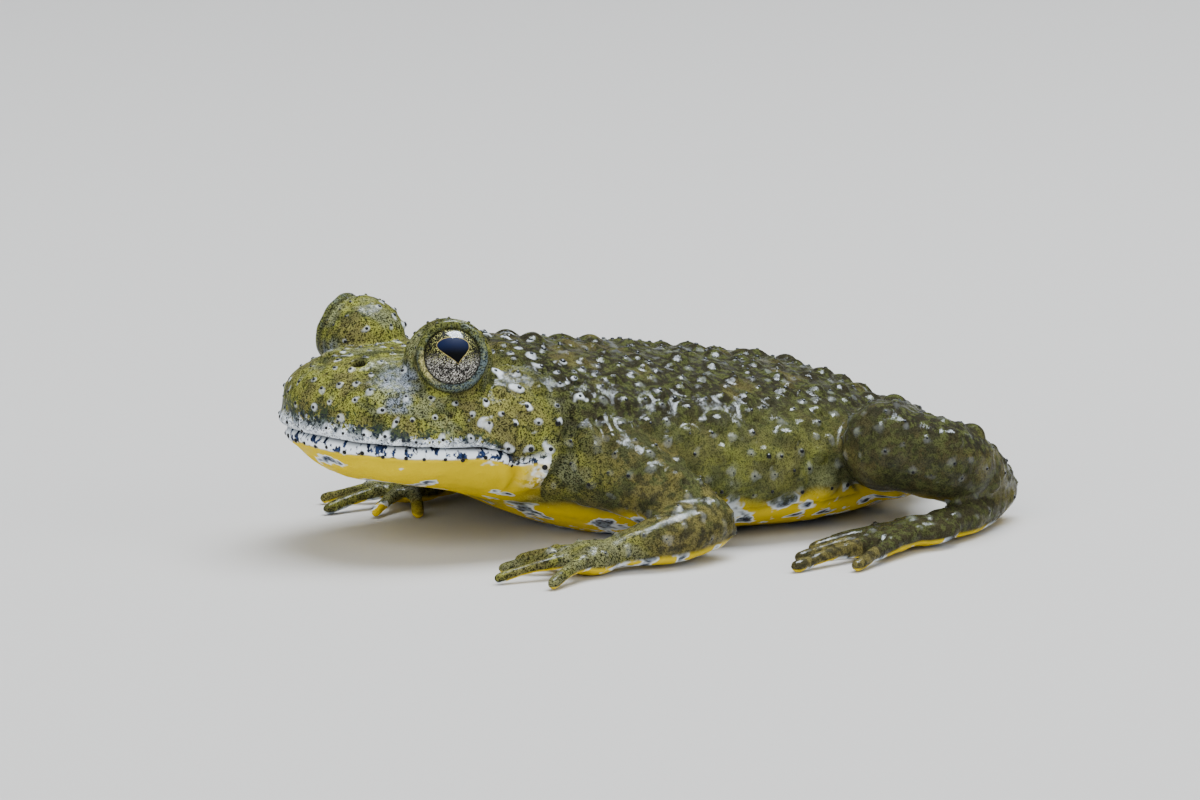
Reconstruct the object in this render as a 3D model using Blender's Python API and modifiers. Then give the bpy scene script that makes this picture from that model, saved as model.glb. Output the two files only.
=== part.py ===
"""A yellow-bellied toad, one of the fire-bellied toads, life size, crouched on a floor.

The toad faces -X with +Z up, and its left side faces -Y. Every size below is in millimetres
and MM turns it into metres. A place is (along the body, out from the midline, above the floor),
and SIDES turns "out from the midline" into Y for each side of the body. Each piece of the body
is one closed object, 0.3 mm clear of the pieces that it meets.
"""

import math

import bmesh
import bpy
import numpy as np
from mathutils import Matrix, Vector

MM = 0.001
GAP = 0.3
SIDES = {"left": -1.0, "right": 1.0}

# Head and torso, from the snout tip to the vent:
# along the body, half width, top, widest level, bottom, squareness above, squareness below
SNOUT_TIP = 1.1
VENT = 42.0
TRUNK = (
    (SNOUT_TIP, 6.7, 10.9, 7.3, 4.5, 2.2, 2.0),
    (3.5, 6.9, 10.8, 7.1, 4.2, 2.2, 2.1),
    (6.0, 7.1, 10.9, 6.8, 3.8, 2.3, 2.2),
    (9.0, 7.4, 10.9, 6.4, 3.2, 2.3, 2.2),
    (12.0, 7.9, 11.1, 5.9, 2.3, 2.3, 2.2),
    (15.0, 8.6, 10.9, 5.3, 1.0, 2.2, 2.2),
    (18.0, 9.5, 10.4, 4.8, 0.0, 2.1, 2.3),
    (22.0, 10.6, 9.8, 4.3, -0.2, 2.1, 2.5),
    (26.0, 11.2, 9.2, 4.0, -0.25, 2.1, 2.6),
    (30.0, 10.8, 8.6, 3.8, -0.25, 2.1, 2.6),
    (34.0, 9.3, 7.6, 3.6, -0.2, 2.1, 2.4),
    (38.0, 7.2, 5.9, 3.2, 0.2, 2.1, 2.2),
    (VENT, 5.6, 4.8, 2.8, 0.7, 2.1, 2.1),
)
SNOUT_TIP_LEVEL = 8.5
SNOUT_ROUND_IN_PLAN = 7.6
SNOUT_ROUND_IN_PROFILE = 3.8
VENT_LEVEL = 2.8
VENT_ROUND = 6.0
TRUNK_RINGS = 42
TRUNK_POINTS_AROUND = 34

# Cuts that part the trunk, as (along the body, level) in the side view
MOUTH_LINE = ((-1.0, 6.85), (1.3, 6.8), (2.5, 6.62), (5.0, 6.5), (8.0, 6.35), (10.2, 6.2))
JAW_BACK = ((11.3, 5.0), (12.0, 2.6), (12.4, -1.8))
NECK = ((13.6, 14.0), (14.5, 7.0), (14.8, -1.8))
CUT_HALF_WIDTH = 16.0

# Eyes, lids, nostrils and lips
EYE_PLACE = (7.9, 4.5, 10.8)
EYE_BULGE_RADIUS = 2.4
EYE_RADIUS = 1.65
EYE_OUTWARD = 0.7
EYE_TURNED_FORWARD = 25.0
EYE_TURNED_UP = 18.0
LID_OPENING_RADIUS = 1.5
LID_RING_RADIUS = 1.7
LID_RING_THICKNESS = 0.34
LID_RING_OUTWARD = 1.62
NOSTRIL_PLACE = (4.0, 1.6)
NOSTRIL_RADIUS = 0.22
NOSTRIL_DEPTH = 0.7
NOSTRIL_RIM_RADIUS = 0.47
NOSTRIL_RIM_THICKNESS = 0.18
LIP_CORNER = 9.8
LIP_STEPS = 8
LIP_RADIUS = 0.5
LIP_SUNK = 0.32
LIP_FROM_MOUTH_LINE = 0.5

# Limbs: places along the middle of each piece, then half its width and half its height there
UPPER_ARM = (
    (14.8, 6.0, 5.6, 2.8, 2.8),
    (16.6, 8.8, 4.4, 2.3, 2.3),
    (18.4, 11.0, 3.0, 1.85, 1.85),
    (19.5, 12.0, 2.1, 1.5, 1.5),
)
FOREARM = (
    (19.6, 12.2, 2.0, 1.45, 1.5),
    (17.2, 12.8, 1.7, 1.65, 1.55),
    (15.0, 12.9, 1.35, 1.35, 1.2),
    (13.4, 12.7, 1.1, 1.05, 0.9),
)
THIGH = (
    (37.0, 3.2, 3.2, 2.8, 2.7),
    (34.8, 7.4, 3.8, 2.9, 2.8),
    (32.4, 11.0, 4.7, 2.7, 2.6),
    (30.4, 13.2, 5.3, 2.3, 2.4),
)
SHANK = (
    (30.5, 13.4, 5.2, 2.1, 2.2),
    (33.5, 13.8, 4.4, 2.3, 2.3),
    (36.8, 12.6, 3.1, 1.9, 1.9),
    (39.4, 11.0, 1.9, 1.35, 1.35),
)
TARSUS = (
    (39.4, 11.3, 1.6, 1.25, 1.25),
    (37.0, 13.2, 1.25, 1.1, 1.1),
    (34.2, 15.0, 1.05, 1.0, 0.95),
    (32.6, 15.6, 1.05, 0.95, 0.9),
)
LIMB_POINTS_AROUND = 12

# Hand and foot: (turned inward from straight ahead, length, radius at the root) of each digit
PALM = (11.9, 12.6, 0.95)
PALM_SIZE = (1.9, 1.45, 0.9)
PALM_TURNED_INWARD = 14.0
FINGERS = ((62.0, 3.8, 0.6), (32.0, 4.4, 0.56), (5.0, 5.5, 0.56), (-28.0, 4.4, 0.54))
SOLE = (31.0, 15.9, 0.95)
SOLE_SIZE = (2.4, 1.4, 0.85)
SOLE_TURNED_INWARD = -12.0
TOES = (
    (28.0, 4.2, 0.62),
    (11.0, 5.8, 0.58),
    (-2.0, 7.8, 0.56),
    (-12.0, 9.6, 0.56),
    (-27.0, 7.4, 0.56),
)
DIGIT_TIP_SHARE = 0.72
DIGIT_TIP_LEVEL = 0.36
DIGIT_POINTS_AROUND = 7
WEB_REACH = 0.72
WEB_HOLLOW = 0.3
WEB_THICKNESS = 0.5
WEB_LEVEL = 0.42

# How far each side's joints are drawn back, inward and down from the places above
ELBOW_DRAWN = {"left": (0.0, 0.0, 0.0), "right": (2.2, 1.2, 0.0)}
WRIST_DRAWN = {"left": (0.0, 0.0, 0.0), "right": (2.8, 2.4, 0.0)}
KNEE_DRAWN = {"left": (0.0, 0.0, 0.0), "right": (0.6, 0.5, 0.7)}
HEEL_DRAWN = {"left": (0.0, 0.0, 0.0), "right": (0.2, 0.3, 0.0)}

# Warts: the radius and rise of each size, and where each region has how many
WART_SIZES = {"large": (0.66, 0.36), "medium": (0.52, 0.3), "small": (0.4, 0.24)}
WART_SEED = 7
WART_SPACING = 1.8
WART_SUNK = 0.1
BACK_WARTS = (("large", 14), ("medium", 18), ("small", 8))
BACK_WART_SPANS = ((15.0, 38.5), (6.0, 174.0))
HEAD_WARTS = (("medium", 4), ("small", 8))
HEAD_WART_SPANS = ((10.0, 13.6), (4.0, 176.0))
LIMB_WARTS = {
    "upper_arm": ((("medium", 3),), ((0.45, 0.8), (20.0, 130.0))),
    "thigh": ((("large", 2), ("medium", 2)), ((0.35, 0.8), (30.0, 150.0))),
    "shank": ((("large", 2), ("medium", 3)), ((0.25, 0.75), (30.0, 200.0))),
}

COLOURS = {
    "back": ((0.16, 0.15, 0.06), 0.35),
    "throat": ((0.75, 0.52, 0.05), 0.4),
    "limb": ((0.18, 0.16, 0.07), 0.4),
    "eye": ((0.05, 0.04, 0.02), 0.08),
}


def clear_scene():
    for old in list(bpy.data.objects):
        bpy.data.objects.remove(old)


def place(side, spot):
    """The point in metres of a place (along the body, out from the midline, above the floor)."""
    along, out, up = spot
    return Vector((along, SIDES[side] * out, up)) * MM


def between(table, at):
    """The row of a table at a station between its rows, on a smooth curve through them."""
    rows = np.array(table)
    stations = rows[:, 0]
    slopes = np.gradient(rows, stations, axis=0)
    i = int(np.clip(np.searchsorted(stations, at) - 1, 0, len(stations) - 2))
    step = stations[i + 1] - stations[i]
    u = min(max((at - stations[i]) / step, 0.0), 1.0)
    return (
        rows[i] * (1 + 2 * u) * (1 - u) ** 2
        + slopes[i] * step * u * (1 - u) ** 2
        + rows[i + 1] * u * u * (3 - 2 * u)
        + slopes[i + 1] * step * u * u * (u - 1)
    )


def round_end(distance, length):
    """Share of its full size that a form has at a distance from its rounded end."""
    near = 1 - min(max(distance / length, 0.0), 1.0)
    return math.sqrt(1 - near * near)


def trunk_sizes(at):
    """(half width, top, widest level, bottom, squareness above and below) at a place on the trunk."""
    _, half_width, top, widest, bottom, above, below = between(TRUNK, at)
    half_width *= round_end(at - SNOUT_TIP, SNOUT_ROUND_IN_PLAN) * round_end(VENT - at, VENT_ROUND)
    front = round_end(at - SNOUT_TIP, SNOUT_ROUND_IN_PROFILE)
    rear = round_end(VENT - at, VENT_ROUND)
    levels = []
    for level in (top, widest, bottom):
        level = SNOUT_TIP_LEVEL + (level - SNOUT_TIP_LEVEL) * front
        levels.append(VENT_LEVEL + (level - VENT_LEVEL) * rear)
    return half_width, *levels, above, below


def trunk_ring(at, points):
    half_width, top, widest, bottom, above, below = trunk_sizes(at)
    ring = []
    for k in range(points):
        angle = 2 * math.pi * (k + 0.5) / points
        across, up = math.cos(angle), math.sin(angle)
        power = 2 / (above if up > 0 else below)
        height = top - widest if up > 0 else widest - bottom
        out = half_width * math.copysign(abs(across) ** power, across)
        level = widest + height * math.copysign(abs(up) ** power, up)
        ring.append(place("right", (at, out, level)))
    return ring


def trunk_top(at, out):
    """How high the trunk's upper surface is at a distance out from the midline."""
    half_width, top, widest, _, above, _ = trunk_sizes(at)
    share = min(abs(out) / half_width, 1.0)
    return widest + (top - widest) * (1 - share**above) ** (1 / above)


def trunk_side(at, level):
    """How far out from the midline the trunk's side is at a level."""
    half_width, top, widest, bottom, above, below = trunk_sizes(at)
    height, power = (top - widest, above) if level > widest else (widest - bottom, below)
    share = min(abs(level - widest) / height, 1.0)
    return half_width * (1 - share**power) ** (1 / power)


def make_object(name, mesh, collection):
    data = bpy.data.meshes.new(name)
    mesh.to_mesh(data)
    mesh.free()
    obj = bpy.data.objects.new(name, data)
    collection.objects.link(obj)
    return obj


def loft(name, rings, first, last, collection):
    """A closed form through rings of equally many points, with a pole at each end."""
    mesh = bmesh.new()
    loops = [[mesh.verts.new(point) for point in ring] for ring in rings]
    start, end = mesh.verts.new(first), mesh.verts.new(last)
    count = len(loops[0])
    for k in range(count):
        n = (k + 1) % count
        mesh.faces.new((start, loops[0][n], loops[0][k]))
        mesh.faces.new((end, loops[-1][k], loops[-1][n]))
        for a, b in zip(loops, loops[1:]):
            mesh.faces.new((a[k], a[n], b[n], b[k]))
    bmesh.ops.recalc_face_normals(mesh, faces=mesh.faces)
    return make_object(name, mesh, collection)


def path_of(side, rows):
    """Rows of (place, half width, half height) as a table along the length of their path."""
    spots = [place(side, row[:3]) / MM for row in rows]
    lengths = [0.0]
    for a, b in zip(spots, spots[1:]):
        lengths.append(lengths[-1] + (b - a).length)
    return [(at, *spot, *row[3:]) for at, spot, row in zip(lengths, spots, rows)]


def frame_on(path, at):
    """(middle, direction, sideways half size, upward half size) at a length along a path."""
    total = path[-1][0]
    sizes = between(path, at)
    ahead = between(path, min(at + 0.05, total))
    behind = between(path, max(at - 0.05, 0.0))
    direction = Vector(ahead[1:4] - behind[1:4]).normalized()
    across = Vector((0, 0, 1)).cross(direction).normalized()
    up = direction.cross(across)
    return Vector(sizes[1:4]), direction, across * sizes[4], up * sizes[5]


def limb(name, side, rows, points, steps, collection):
    """A rounded form along a smooth path, from rows of (place, half width, half height)."""
    path = path_of(side, rows)
    total, start_radius, end_radius = path[-1][0], rows[0][3], rows[-1][3]
    stations = [-start_radius * math.cos(math.radians(a)) for a in (30, 62)]
    stations += [total * k / steps for k in range(steps + 1)]
    stations += [total + end_radius * math.cos(math.radians(a)) for a in (62, 30)]
    turns = [2 * math.pi * k / points for k in range(points)]
    rings = []
    for at in stations:
        inside = min(max(at, 0.0), total)
        middle, direction, across, up = frame_on(path, inside)
        middle += direction * (at - inside)
        past = abs(at - inside) / (start_radius if at < 0 else end_radius)
        share = math.sqrt(max(1 - past * past, 0.0))
        rings.append([
            (middle + (across * math.cos(a) + up * math.sin(a)) * share) * MM for a in turns
        ])
    begin, lead, _, _ = frame_on(path, 0.0)
    finish, trail, _, _ = frame_on(path, total)
    first, last = begin - lead * start_radius, finish + trail * end_radius
    return loft(name, rings, first * MM, last * MM, collection)


def ball(name, middle, sizes, turn, segments, rings, collection):
    """An ellipsoid with half sizes in millimetres, turned by a matrix."""
    mesh = bmesh.new()
    bmesh.ops.create_uvsphere(mesh, u_segments=segments, v_segments=rings, radius=MM)
    shape = Matrix.Diagonal((*sizes, 1.0))
    mesh.transform(Matrix.Translation(middle) @ turn @ shape)
    return make_object(name, mesh, collection)


def ring_along(name, middle, direction, radius, thickness, segments, collection):
    """A torus round a direction."""
    bpy.ops.mesh.primitive_torus_add(
        major_radius=radius * MM,
        minor_radius=thickness * MM,
        major_segments=segments,
        minor_segments=6,
        location=middle,
        rotation=direction.to_track_quat("Z", "Y").to_euler(),
    )
    obj = bpy.context.object
    obj.name = name
    for home in list(obj.users_collection):
        home.objects.unlink(obj)
    collection.objects.link(obj)
    return obj


def rod(name, start, end, radius, collection):
    """A straight round form between two points, for cutting."""
    mesh = bmesh.new()
    bmesh.ops.create_cone(
        mesh,
        cap_ends=True,
        segments=18,
        radius1=radius * MM,
        radius2=radius * MM,
        depth=(end - start).length,
    )
    turn = (end - start).to_track_quat("Z", "Y").to_matrix().to_4x4()
    mesh.transform(Matrix.Translation((start + end) / 2) @ turn)
    return make_object(name, mesh, collection)


def settle(obj):
    """Makes an object's modifiers part of its mesh."""
    graph = bpy.context.evaluated_depsgraph_get()
    obj.data = bpy.data.meshes.new_from_object(obj.evaluated_get(graph))
    obj.modifiers.clear()
    return obj


def remove(objects):
    for obj in list(objects):
        bpy.data.objects.remove(obj)


def combine(obj, tools, operation):
    """Joins tools to an object or cuts them from it, then removes them."""
    modifier = obj.modifiers.new(operation.lower(), "BOOLEAN")
    modifier.operation = operation
    modifier.operand_type = "COLLECTION"
    modifier.collection = tools
    modifier.solver = "EXACT"
    settle(obj)
    remove(tools.objects)
    return obj


def cut_sheet(name, line, tools):
    """A thin sheet as wide as the trunk along a line in the side view, for parting it."""
    mesh = bmesh.new()
    edges = []
    for along, level in line:
        edges.append([
            mesh.verts.new(Vector((along, side * CUT_HALF_WIDTH, level)) * MM)
            for side in SIDES.values()
        ])
    for a, b in zip(edges, edges[1:]):
        mesh.faces.new((a[0], a[1], b[1], b[0]))
    obj = make_object(name, mesh, tools)
    wall = obj.modifiers.new("gap", "SOLIDIFY")
    wall.thickness = GAP * MM
    wall.offset = 0.0
    wall.use_even_offset = True
    return settle(obj)


def floor_block(tools):
    """Everything under the floor, which leaves small flats on what rests there."""
    mesh = bmesh.new()
    bmesh.ops.create_cube(mesh, size=1.0)
    mesh.transform(
        Matrix.Translation(Vector((20.0, 0.0, -5.0)) * MM)
        @ Matrix.Diagonal((120.0 * MM, 120.0 * MM, 10.0 * MM, 1.0))
    )
    return make_object("floor_block", mesh, tools)


def closed_pieces(obj):
    """The closed surfaces of an object as (volume, middle, faces), the largest first."""
    mesh = bmesh.new()
    mesh.from_mesh(obj.data)
    mesh.faces.ensure_lookup_table()
    seen = set()
    pieces = []
    for seed in mesh.faces:
        if seed.index in seen:
            continue
        seen.add(seed.index)
        found = [seed]
        for face in found:
            for edge in face.edges:
                for other in edge.link_faces:
                    if other.index not in seen:
                        seen.add(other.index)
                        found.append(other)
        middles = [face.calc_center_median() for face in found]
        volume = sum(
            face.calc_area() * face.normal.dot(middle) / 3 for face, middle in zip(found, middles)
        )
        centre = sum(middles, Vector()) / len(middles)
        pieces.append((volume, centre, {face.index for face in found}))
    mesh.free()
    return sorted(pieces, key=lambda piece: -piece[0])


def only(obj, faces):
    """Leaves only some faces of an object."""
    mesh = bmesh.new()
    mesh.from_mesh(obj.data)
    mesh.faces.ensure_lookup_table()
    bmesh.ops.delete(mesh, geom=[f for f in mesh.faces if f.index not in faces], context="FACES")
    mesh.to_mesh(obj.data)
    mesh.free()
    return obj


def keep_largest(obj):
    return only(obj, closed_pieces(obj)[0][2])


def grown_form(obj):
    """A mesh of the object's form grown by the gap, which cuts room for it from what it meets."""
    data = obj.data.copy()
    for vertex, normal in zip(data.vertices, obj.data.vertex_normals):
        vertex.co += normal.vector * GAP * MM
    return data


def make_room(obj, grown_forms, tools):
    """Cuts an object clear of the floor and of the grown forms that it meets."""
    floor_block(tools)
    for k, data in enumerate(grown_forms):
        tools.objects.link(bpy.data.objects.new(f"room_{k}", data))
    combine(obj, tools, "DIFFERENCE")
    return keep_largest(obj)


def surface_of(spot_at, inside_at):
    """A function giving (spot, outward normal) on a surface from its own two coordinates."""

    def surface(u, v):
        spot = spot_at(u, v)
        along = spot_at(u + 0.02, v) - spot_at(u - 0.02, v)
        around = spot_at(u, v + 1.0) - spot_at(u, v - 1.0)
        normal = along.cross(around).normalized()
        return spot, normal if normal.dot(spot - inside_at(u)) > 0 else -normal

    return surface


def trunk_surface():
    """The trunk's upper surface, by (along the body, degrees from the right side over the back)."""

    def spot_at(at, angle):
        half_width, top, widest, _, above, _ = trunk_sizes(at)
        across, up = math.cos(math.radians(angle)), math.sin(math.radians(angle))
        out = half_width * math.copysign(abs(across) ** (2 / above), across)
        return Vector((at, out, widest + (top - widest) * abs(up) ** (2 / above)))

    return surface_of(spot_at, lambda at: Vector((at, 0.0, trunk_sizes(at)[2])))


def limb_surface(side, rows):
    """A limb's surface, by (share of its length, degrees from its inner side over its top)."""
    path = path_of(side, rows)
    total = path[-1][0]

    def spot_at(share, angle):
        middle, _, across, up = frame_on(path, share * total)
        turn = math.radians(angle)
        return middle - across * SIDES[side] * math.cos(turn) + up * math.sin(turn)

    return surface_of(spot_at, lambda share: frame_on(path, share * total)[0])


def scatter_warts(rng, surface, kinds, spans, clear):
    """Warts (spot, outward normal, radius, rise) strewn over a surface, kind by kind."""
    warts = []
    for kind, count in kinds:
        radius, rise = WART_SIZES[kind]
        left = count
        for _ in range(80 * count):
            spot, normal = surface(*[rng.uniform(low, high) for low, high in spans])
            apart = all((spot - other[0]).length > WART_SPACING for other in warts)
            if left and apart and clear(spot, radius):
                warts.append((spot, normal, radius, rise))
                left -= 1
    return warts


def clear_of_cuts(spot, radius):
    """Whether a wart on the trunk stays off the neck, the mouth, the eyes and the limbs."""
    at, across, level = spot
    side = "right" if across > 0 else "left"
    neck = np.interp(-level, [-z for _, z in NECK], [x for x, _ in NECK])
    if abs(at - neck) < radius + 0.5:
        return False
    if at < neck and level < mouth_level(at) + 1.3 + radius:
        return False
    if (spot - place(side, EYE_PLACE) / MM).length < EYE_BULGE_RADIUS + radius + 0.4:
        return False
    for rows in (UPPER_ARM, THIGH, SHANK):
        path = path_of(side, rows)
        for k in range(9):
            middle, _, sideways, _ = frame_on(path, path[-1][0] * k / 8)
            if (spot - middle).length < sideways.length + radius + 0.5:
                return False
    return True


def add_warts(warts, tools):
    """The warts' domes, for fusing to what they grow on."""
    for k, (spot, normal, radius, rise) in enumerate(warts):
        turn = normal.to_track_quat("Z", "Y").to_matrix().to_4x4()
        middle = (spot - normal * WART_SUNK) * MM
        ball(f"wart_{k}", middle, (radius, radius, rise + WART_SUNK), turn, 7, 5, tools)


def trunk_warts():
    rng = np.random.default_rng(WART_SEED)
    surface = trunk_surface()
    warts = scatter_warts(rng, surface, BACK_WARTS, BACK_WART_SPANS, clear_of_cuts)
    return warts + scatter_warts(rng, surface, HEAD_WARTS, HEAD_WART_SPANS, clear_of_cuts)


def limb_warts(name, side, rows):
    """The warts on the outer and upper side of an arm's or leg's piece."""
    if name not in LIMB_WARTS:
        return []
    kinds, spans = LIMB_WARTS[name]
    rng = np.random.default_rng([WART_SEED, len(name), int(SIDES[side] > 0)])
    return scatter_warts(rng, limb_surface(side, rows), kinds, spans, lambda spot, radius: True)


def gaze(side):
    forward, up = math.radians(EYE_TURNED_FORWARD), math.radians(EYE_TURNED_UP)
    return Vector((
        -math.cos(up) * math.sin(forward),
        SIDES[side] * math.cos(up) * math.cos(forward),
        math.sin(up),
    ))


def eyeball_middle(side):
    return place(side, EYE_PLACE) + gaze(side) * EYE_OUTWARD * MM


def nostril(side):
    """(middle, outward direction) of a nostril on the snout's surface."""
    at, out = NOSTRIL_PLACE
    middle = place(side, (at, out, trunk_top(at, out)))
    return middle, Vector((-0.35, SIDES[side] * 0.55, 0.76)).normalized()


def trunk_front(level):
    """How far along the body the trunk's surface starts at a level of the mouth."""
    near, far = SNOUT_TIP, SNOUT_TIP + SNOUT_ROUND_IN_PROFILE
    for _ in range(30):
        middle = (near + far) / 2
        if trunk_sizes(middle)[3] > level:
            near = middle
        else:
            far = middle
    return far


def mouth_level(at):
    return float(np.interp(at, *zip(*MOUTH_LINE)))


def lip(name, above_mouth_line, tools):
    """A rounded lip along the mouth, from one corner round the snout to the other."""
    front = trunk_front(mouth_level(0.0) + above_mouth_line)
    half = []
    for k in range(LIP_STEPS + 1):
        at = front + (LIP_CORNER - front) * (k / LIP_STEPS) ** 2
        level = mouth_level(at) + above_mouth_line
        half.append((at, trunk_side(at, level), level))
    line = [(at, -out, level) for at, out, level in half[:0:-1]] + half
    rows = []
    for k, (at, out, level) in enumerate(line):
        before, after = line[max(k - 1, 0)], line[min(k + 1, len(line) - 1)]
        along = Vector((after[0] - before[0], after[1] - before[1])).normalized()
        rows.append((at + along.y * LIP_SUNK, out - along.x * LIP_SUNK, level, LIP_RADIUS, LIP_RADIUS))
    return limb(name, "right", rows, 8, 4 * LIP_STEPS, tools)


def build_trunk(parts, tools):
    """The head, lower jaw and torso, modelled whole and parted with thin cuts."""
    shares = [(1 - math.cos(math.pi * k / TRUNK_RINGS)) / 2 for k in range(1, TRUNK_RINGS)]
    stations = [SNOUT_TIP + (VENT - SNOUT_TIP) * share for share in shares]
    rings = [trunk_ring(at, TRUNK_POINTS_AROUND) for at in stations]
    first = place("left", (SNOUT_TIP, 0.0, SNOUT_TIP_LEVEL))
    last = place("left", (VENT, 0.0, VENT_LEVEL))
    trunk = loft("trunk", rings, first, last, parts)
    room = grown_form(trunk)
    for side in SIDES:
        bulge = (EYE_BULGE_RADIUS,) * 3
        ball("eye_bulge_" + side, place(side, EYE_PLACE), bulge, Matrix(), 22, 12, tools)
        rim = place(side, EYE_PLACE) + gaze(side) * LID_RING_OUTWARD * MM
        ring_along("lids_" + side, rim, gaze(side), LID_RING_RADIUS, LID_RING_THICKNESS, 24, tools)
        middle, outward = nostril(side)
        rim, wall = NOSTRIL_RIM_RADIUS, NOSTRIL_RIM_THICKNESS
        ring_along("nostril_rim_" + side, middle, outward, rim, wall, 12, tools)
    lip("upper_lip", LIP_FROM_MOUTH_LINE, tools)
    lip("lower_lip", -LIP_FROM_MOUTH_LINE, tools)
    add_warts(trunk_warts(), tools)
    combine(trunk, tools, "UNION")
    keep_largest(trunk)
    for side in SIDES:
        middle = eyeball_middle(side)
        socket = (EYE_RADIUS + GAP,) * 3
        ball("socket_" + side, middle, socket, Matrix(), 20, 12, tools)
        ahead = middle + gaze(side) * 4 * MM
        rod("opening_" + side, middle, ahead, LID_OPENING_RADIUS, tools)
        hole, outward = nostril(side)
        inner = hole - outward * NOSTRIL_DEPTH * MM
        outer = hole + outward * NOSTRIL_DEPTH * MM
        rod("nostril_" + side, inner, outer, NOSTRIL_RADIUS, tools)
    cut_sheet("mouth_cut", MOUTH_LINE + JAW_BACK, tools)
    cut_sheet("neck_cut", NECK, tools)
    floor_block(tools)
    combine(trunk, tools, "DIFFERENCE")
    homes = {"head": (7.0, 0.0, 8.7), "lower_jaw": (6.0, 0.0, 4.7), "torso": (28.0, 0.0, 5.2)}
    pieces = closed_pieces(trunk)[: len(homes)]
    for name, home in homes.items():
        spot = place("left", home)
        _, _, faces = min(pieces, key=lambda piece: (piece[1] - spot).length)
        copy = trunk.copy()
        copy.data = trunk.data.copy()
        copy.name = name
        parts.objects.link(copy)
        only(copy, faces)
    bpy.data.objects.remove(trunk)
    return room


def digit_rows(base, heading, length, radius):
    """The middle line of a finger or toe, arched from its root down to its tip on the floor."""
    rows = []
    for share, rise, thick in ((0.0, 1.0, 1.0), (0.35, 0.98, 0.95), (0.7, 0.6, 0.85), (1.0, 0.0, 1.0)):
        level = DIGIT_TIP_LEVEL + (base[2] - DIGIT_TIP_LEVEL) * rise
        size = radius * thick * (1 - (1 - DIGIT_TIP_SHARE) * share)
        reach = length * share
        rows.append((
            base[0] - reach * math.cos(heading),
            base[1] - reach * math.sin(heading),
            level,
            size,
            size,
        ))
    return rows


def web(name, side, first, second, tools):
    """The skin between two toes, hollowed at its free edge."""
    lines = []
    for rows in (first, second):
        spots = [place(side, (row[0], row[1], WEB_LEVEL)) for row in rows]
        lines.append((spots[0], spots[-1]))
    mesh = bmesh.new()
    along, across = 6, 5
    grid = []
    for j in range(across + 1):
        v = j / across
        reach = WEB_REACH * (1 - WEB_HOLLOW * 4 * v * (1 - v))
        row = []
        for i in range(along + 1):
            u = reach * i / along
            ends = [start.lerp(end, u) for start, end in lines]
            row.append(mesh.verts.new(ends[0].lerp(ends[1], v)))
        grid.append(row)
    for a, b in zip(grid, grid[1:]):
        for i in range(along):
            mesh.faces.new((a[i], a[i + 1], b[i + 1], b[i]))
    bmesh.ops.remove_doubles(mesh, verts=mesh.verts, dist=0.02 * MM)
    obj = make_object(name, mesh, tools)
    wall = obj.modifiers.new("skin", "SOLIDIFY")
    wall.thickness = WEB_THICKNESS * MM
    wall.offset = 0.0
    return settle(obj)


def drawn(rows, first_shift, last_shift):
    """Rows of places moved by a shift (back, inward, down) that changes along them."""
    shares = np.linspace(0.0, 1.0, len(rows)) if len(rows) > 1 else [0.0]
    moved = []
    for row, share in zip(rows, shares):
        back, inward, down = np.multiply(first_shift, 1 - share) + np.multiply(last_shift, share)
        moved.append((row[0] + back, row[1] - inward, row[2] - down, *row[3:]))
    return moved


def build_end(name, side, palm, sizes, turned, digits, webbed, parts, tools):
    """A hand or foot: its palm or sole, its digits and the web between them."""
    turn = Matrix.Rotation(math.radians(-SIDES[side] * turned), 4, "Z")
    end = ball(name, place(side, palm), sizes, turn, 14, 8, parts)
    lines = []
    for k, (inward, length, radius) in enumerate(digits):
        heading = math.radians(inward)
        spread = (k - (len(digits) - 1) / 2) / len(digits)
        base = (palm[0] - 0.3, palm[1] + spread * sizes[1], palm[2])
        rows = digit_rows(base, heading, length, radius)
        limb(f"digit_{k}", side, rows, DIGIT_POINTS_AROUND, 6, tools)
        lines.append(rows)
    if webbed:
        for k, (first, second) in enumerate(zip(lines, lines[1:])):
            web(f"web_{k}", side, first, second, tools)
    return combine(end, tools, "UNION")


def build_limbs(side, trunk_room, parts, tools):
    """One side's arm and leg, each piece cut clear of those before it."""
    still = (0.0, 0.0, 0.0)
    elbow, wrist, knee, heel = (
        joint[side] for joint in (ELBOW_DRAWN, WRIST_DRAWN, KNEE_DRAWN, HEEL_DRAWN)
    )
    pieces = (
        ("upper_arm", drawn(UPPER_ARM, still, elbow), 7),
        ("forearm", drawn(FOREARM, elbow, wrist), 6),
        ("thigh", drawn(THIGH, still, knee), 8),
        ("shank", drawn(SHANK, knee, heel), 7),
        ("tarsus", drawn(TARSUS, heel, heel), 6),
    )
    rooms = [trunk_room]
    for name, rows, steps in pieces:
        piece = limb(f"{name}_{side}", side, rows, LIMB_POINTS_AROUND, steps, parts)
        room = grown_form(piece)
        warts = limb_warts(name, side, rows)
        if warts:
            add_warts(warts, tools)
            keep_largest(combine(piece, tools, "UNION"))
        make_room(piece, rooms, tools)
        rooms.append(room)
    palm = drawn([PALM], wrist, wrist)[0]
    sole = drawn([SOLE], heel, heel)[0]
    ends = (
        ("hand", palm, PALM_SIZE, PALM_TURNED_INWARD, FINGERS, False),
        ("foot", sole, SOLE_SIZE, SOLE_TURNED_INWARD, TOES, True),
    )
    for name, *form in ends:
        end = build_end(f"{name}_{side}", side, *form, parts, tools)
        make_room(end, rooms, tools)


def build_eye(side, parts):
    size = (EYE_RADIUS,) * 3
    return ball("eye_" + side, eyeball_middle(side), size, Matrix(), 18, 10, parts)


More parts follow.
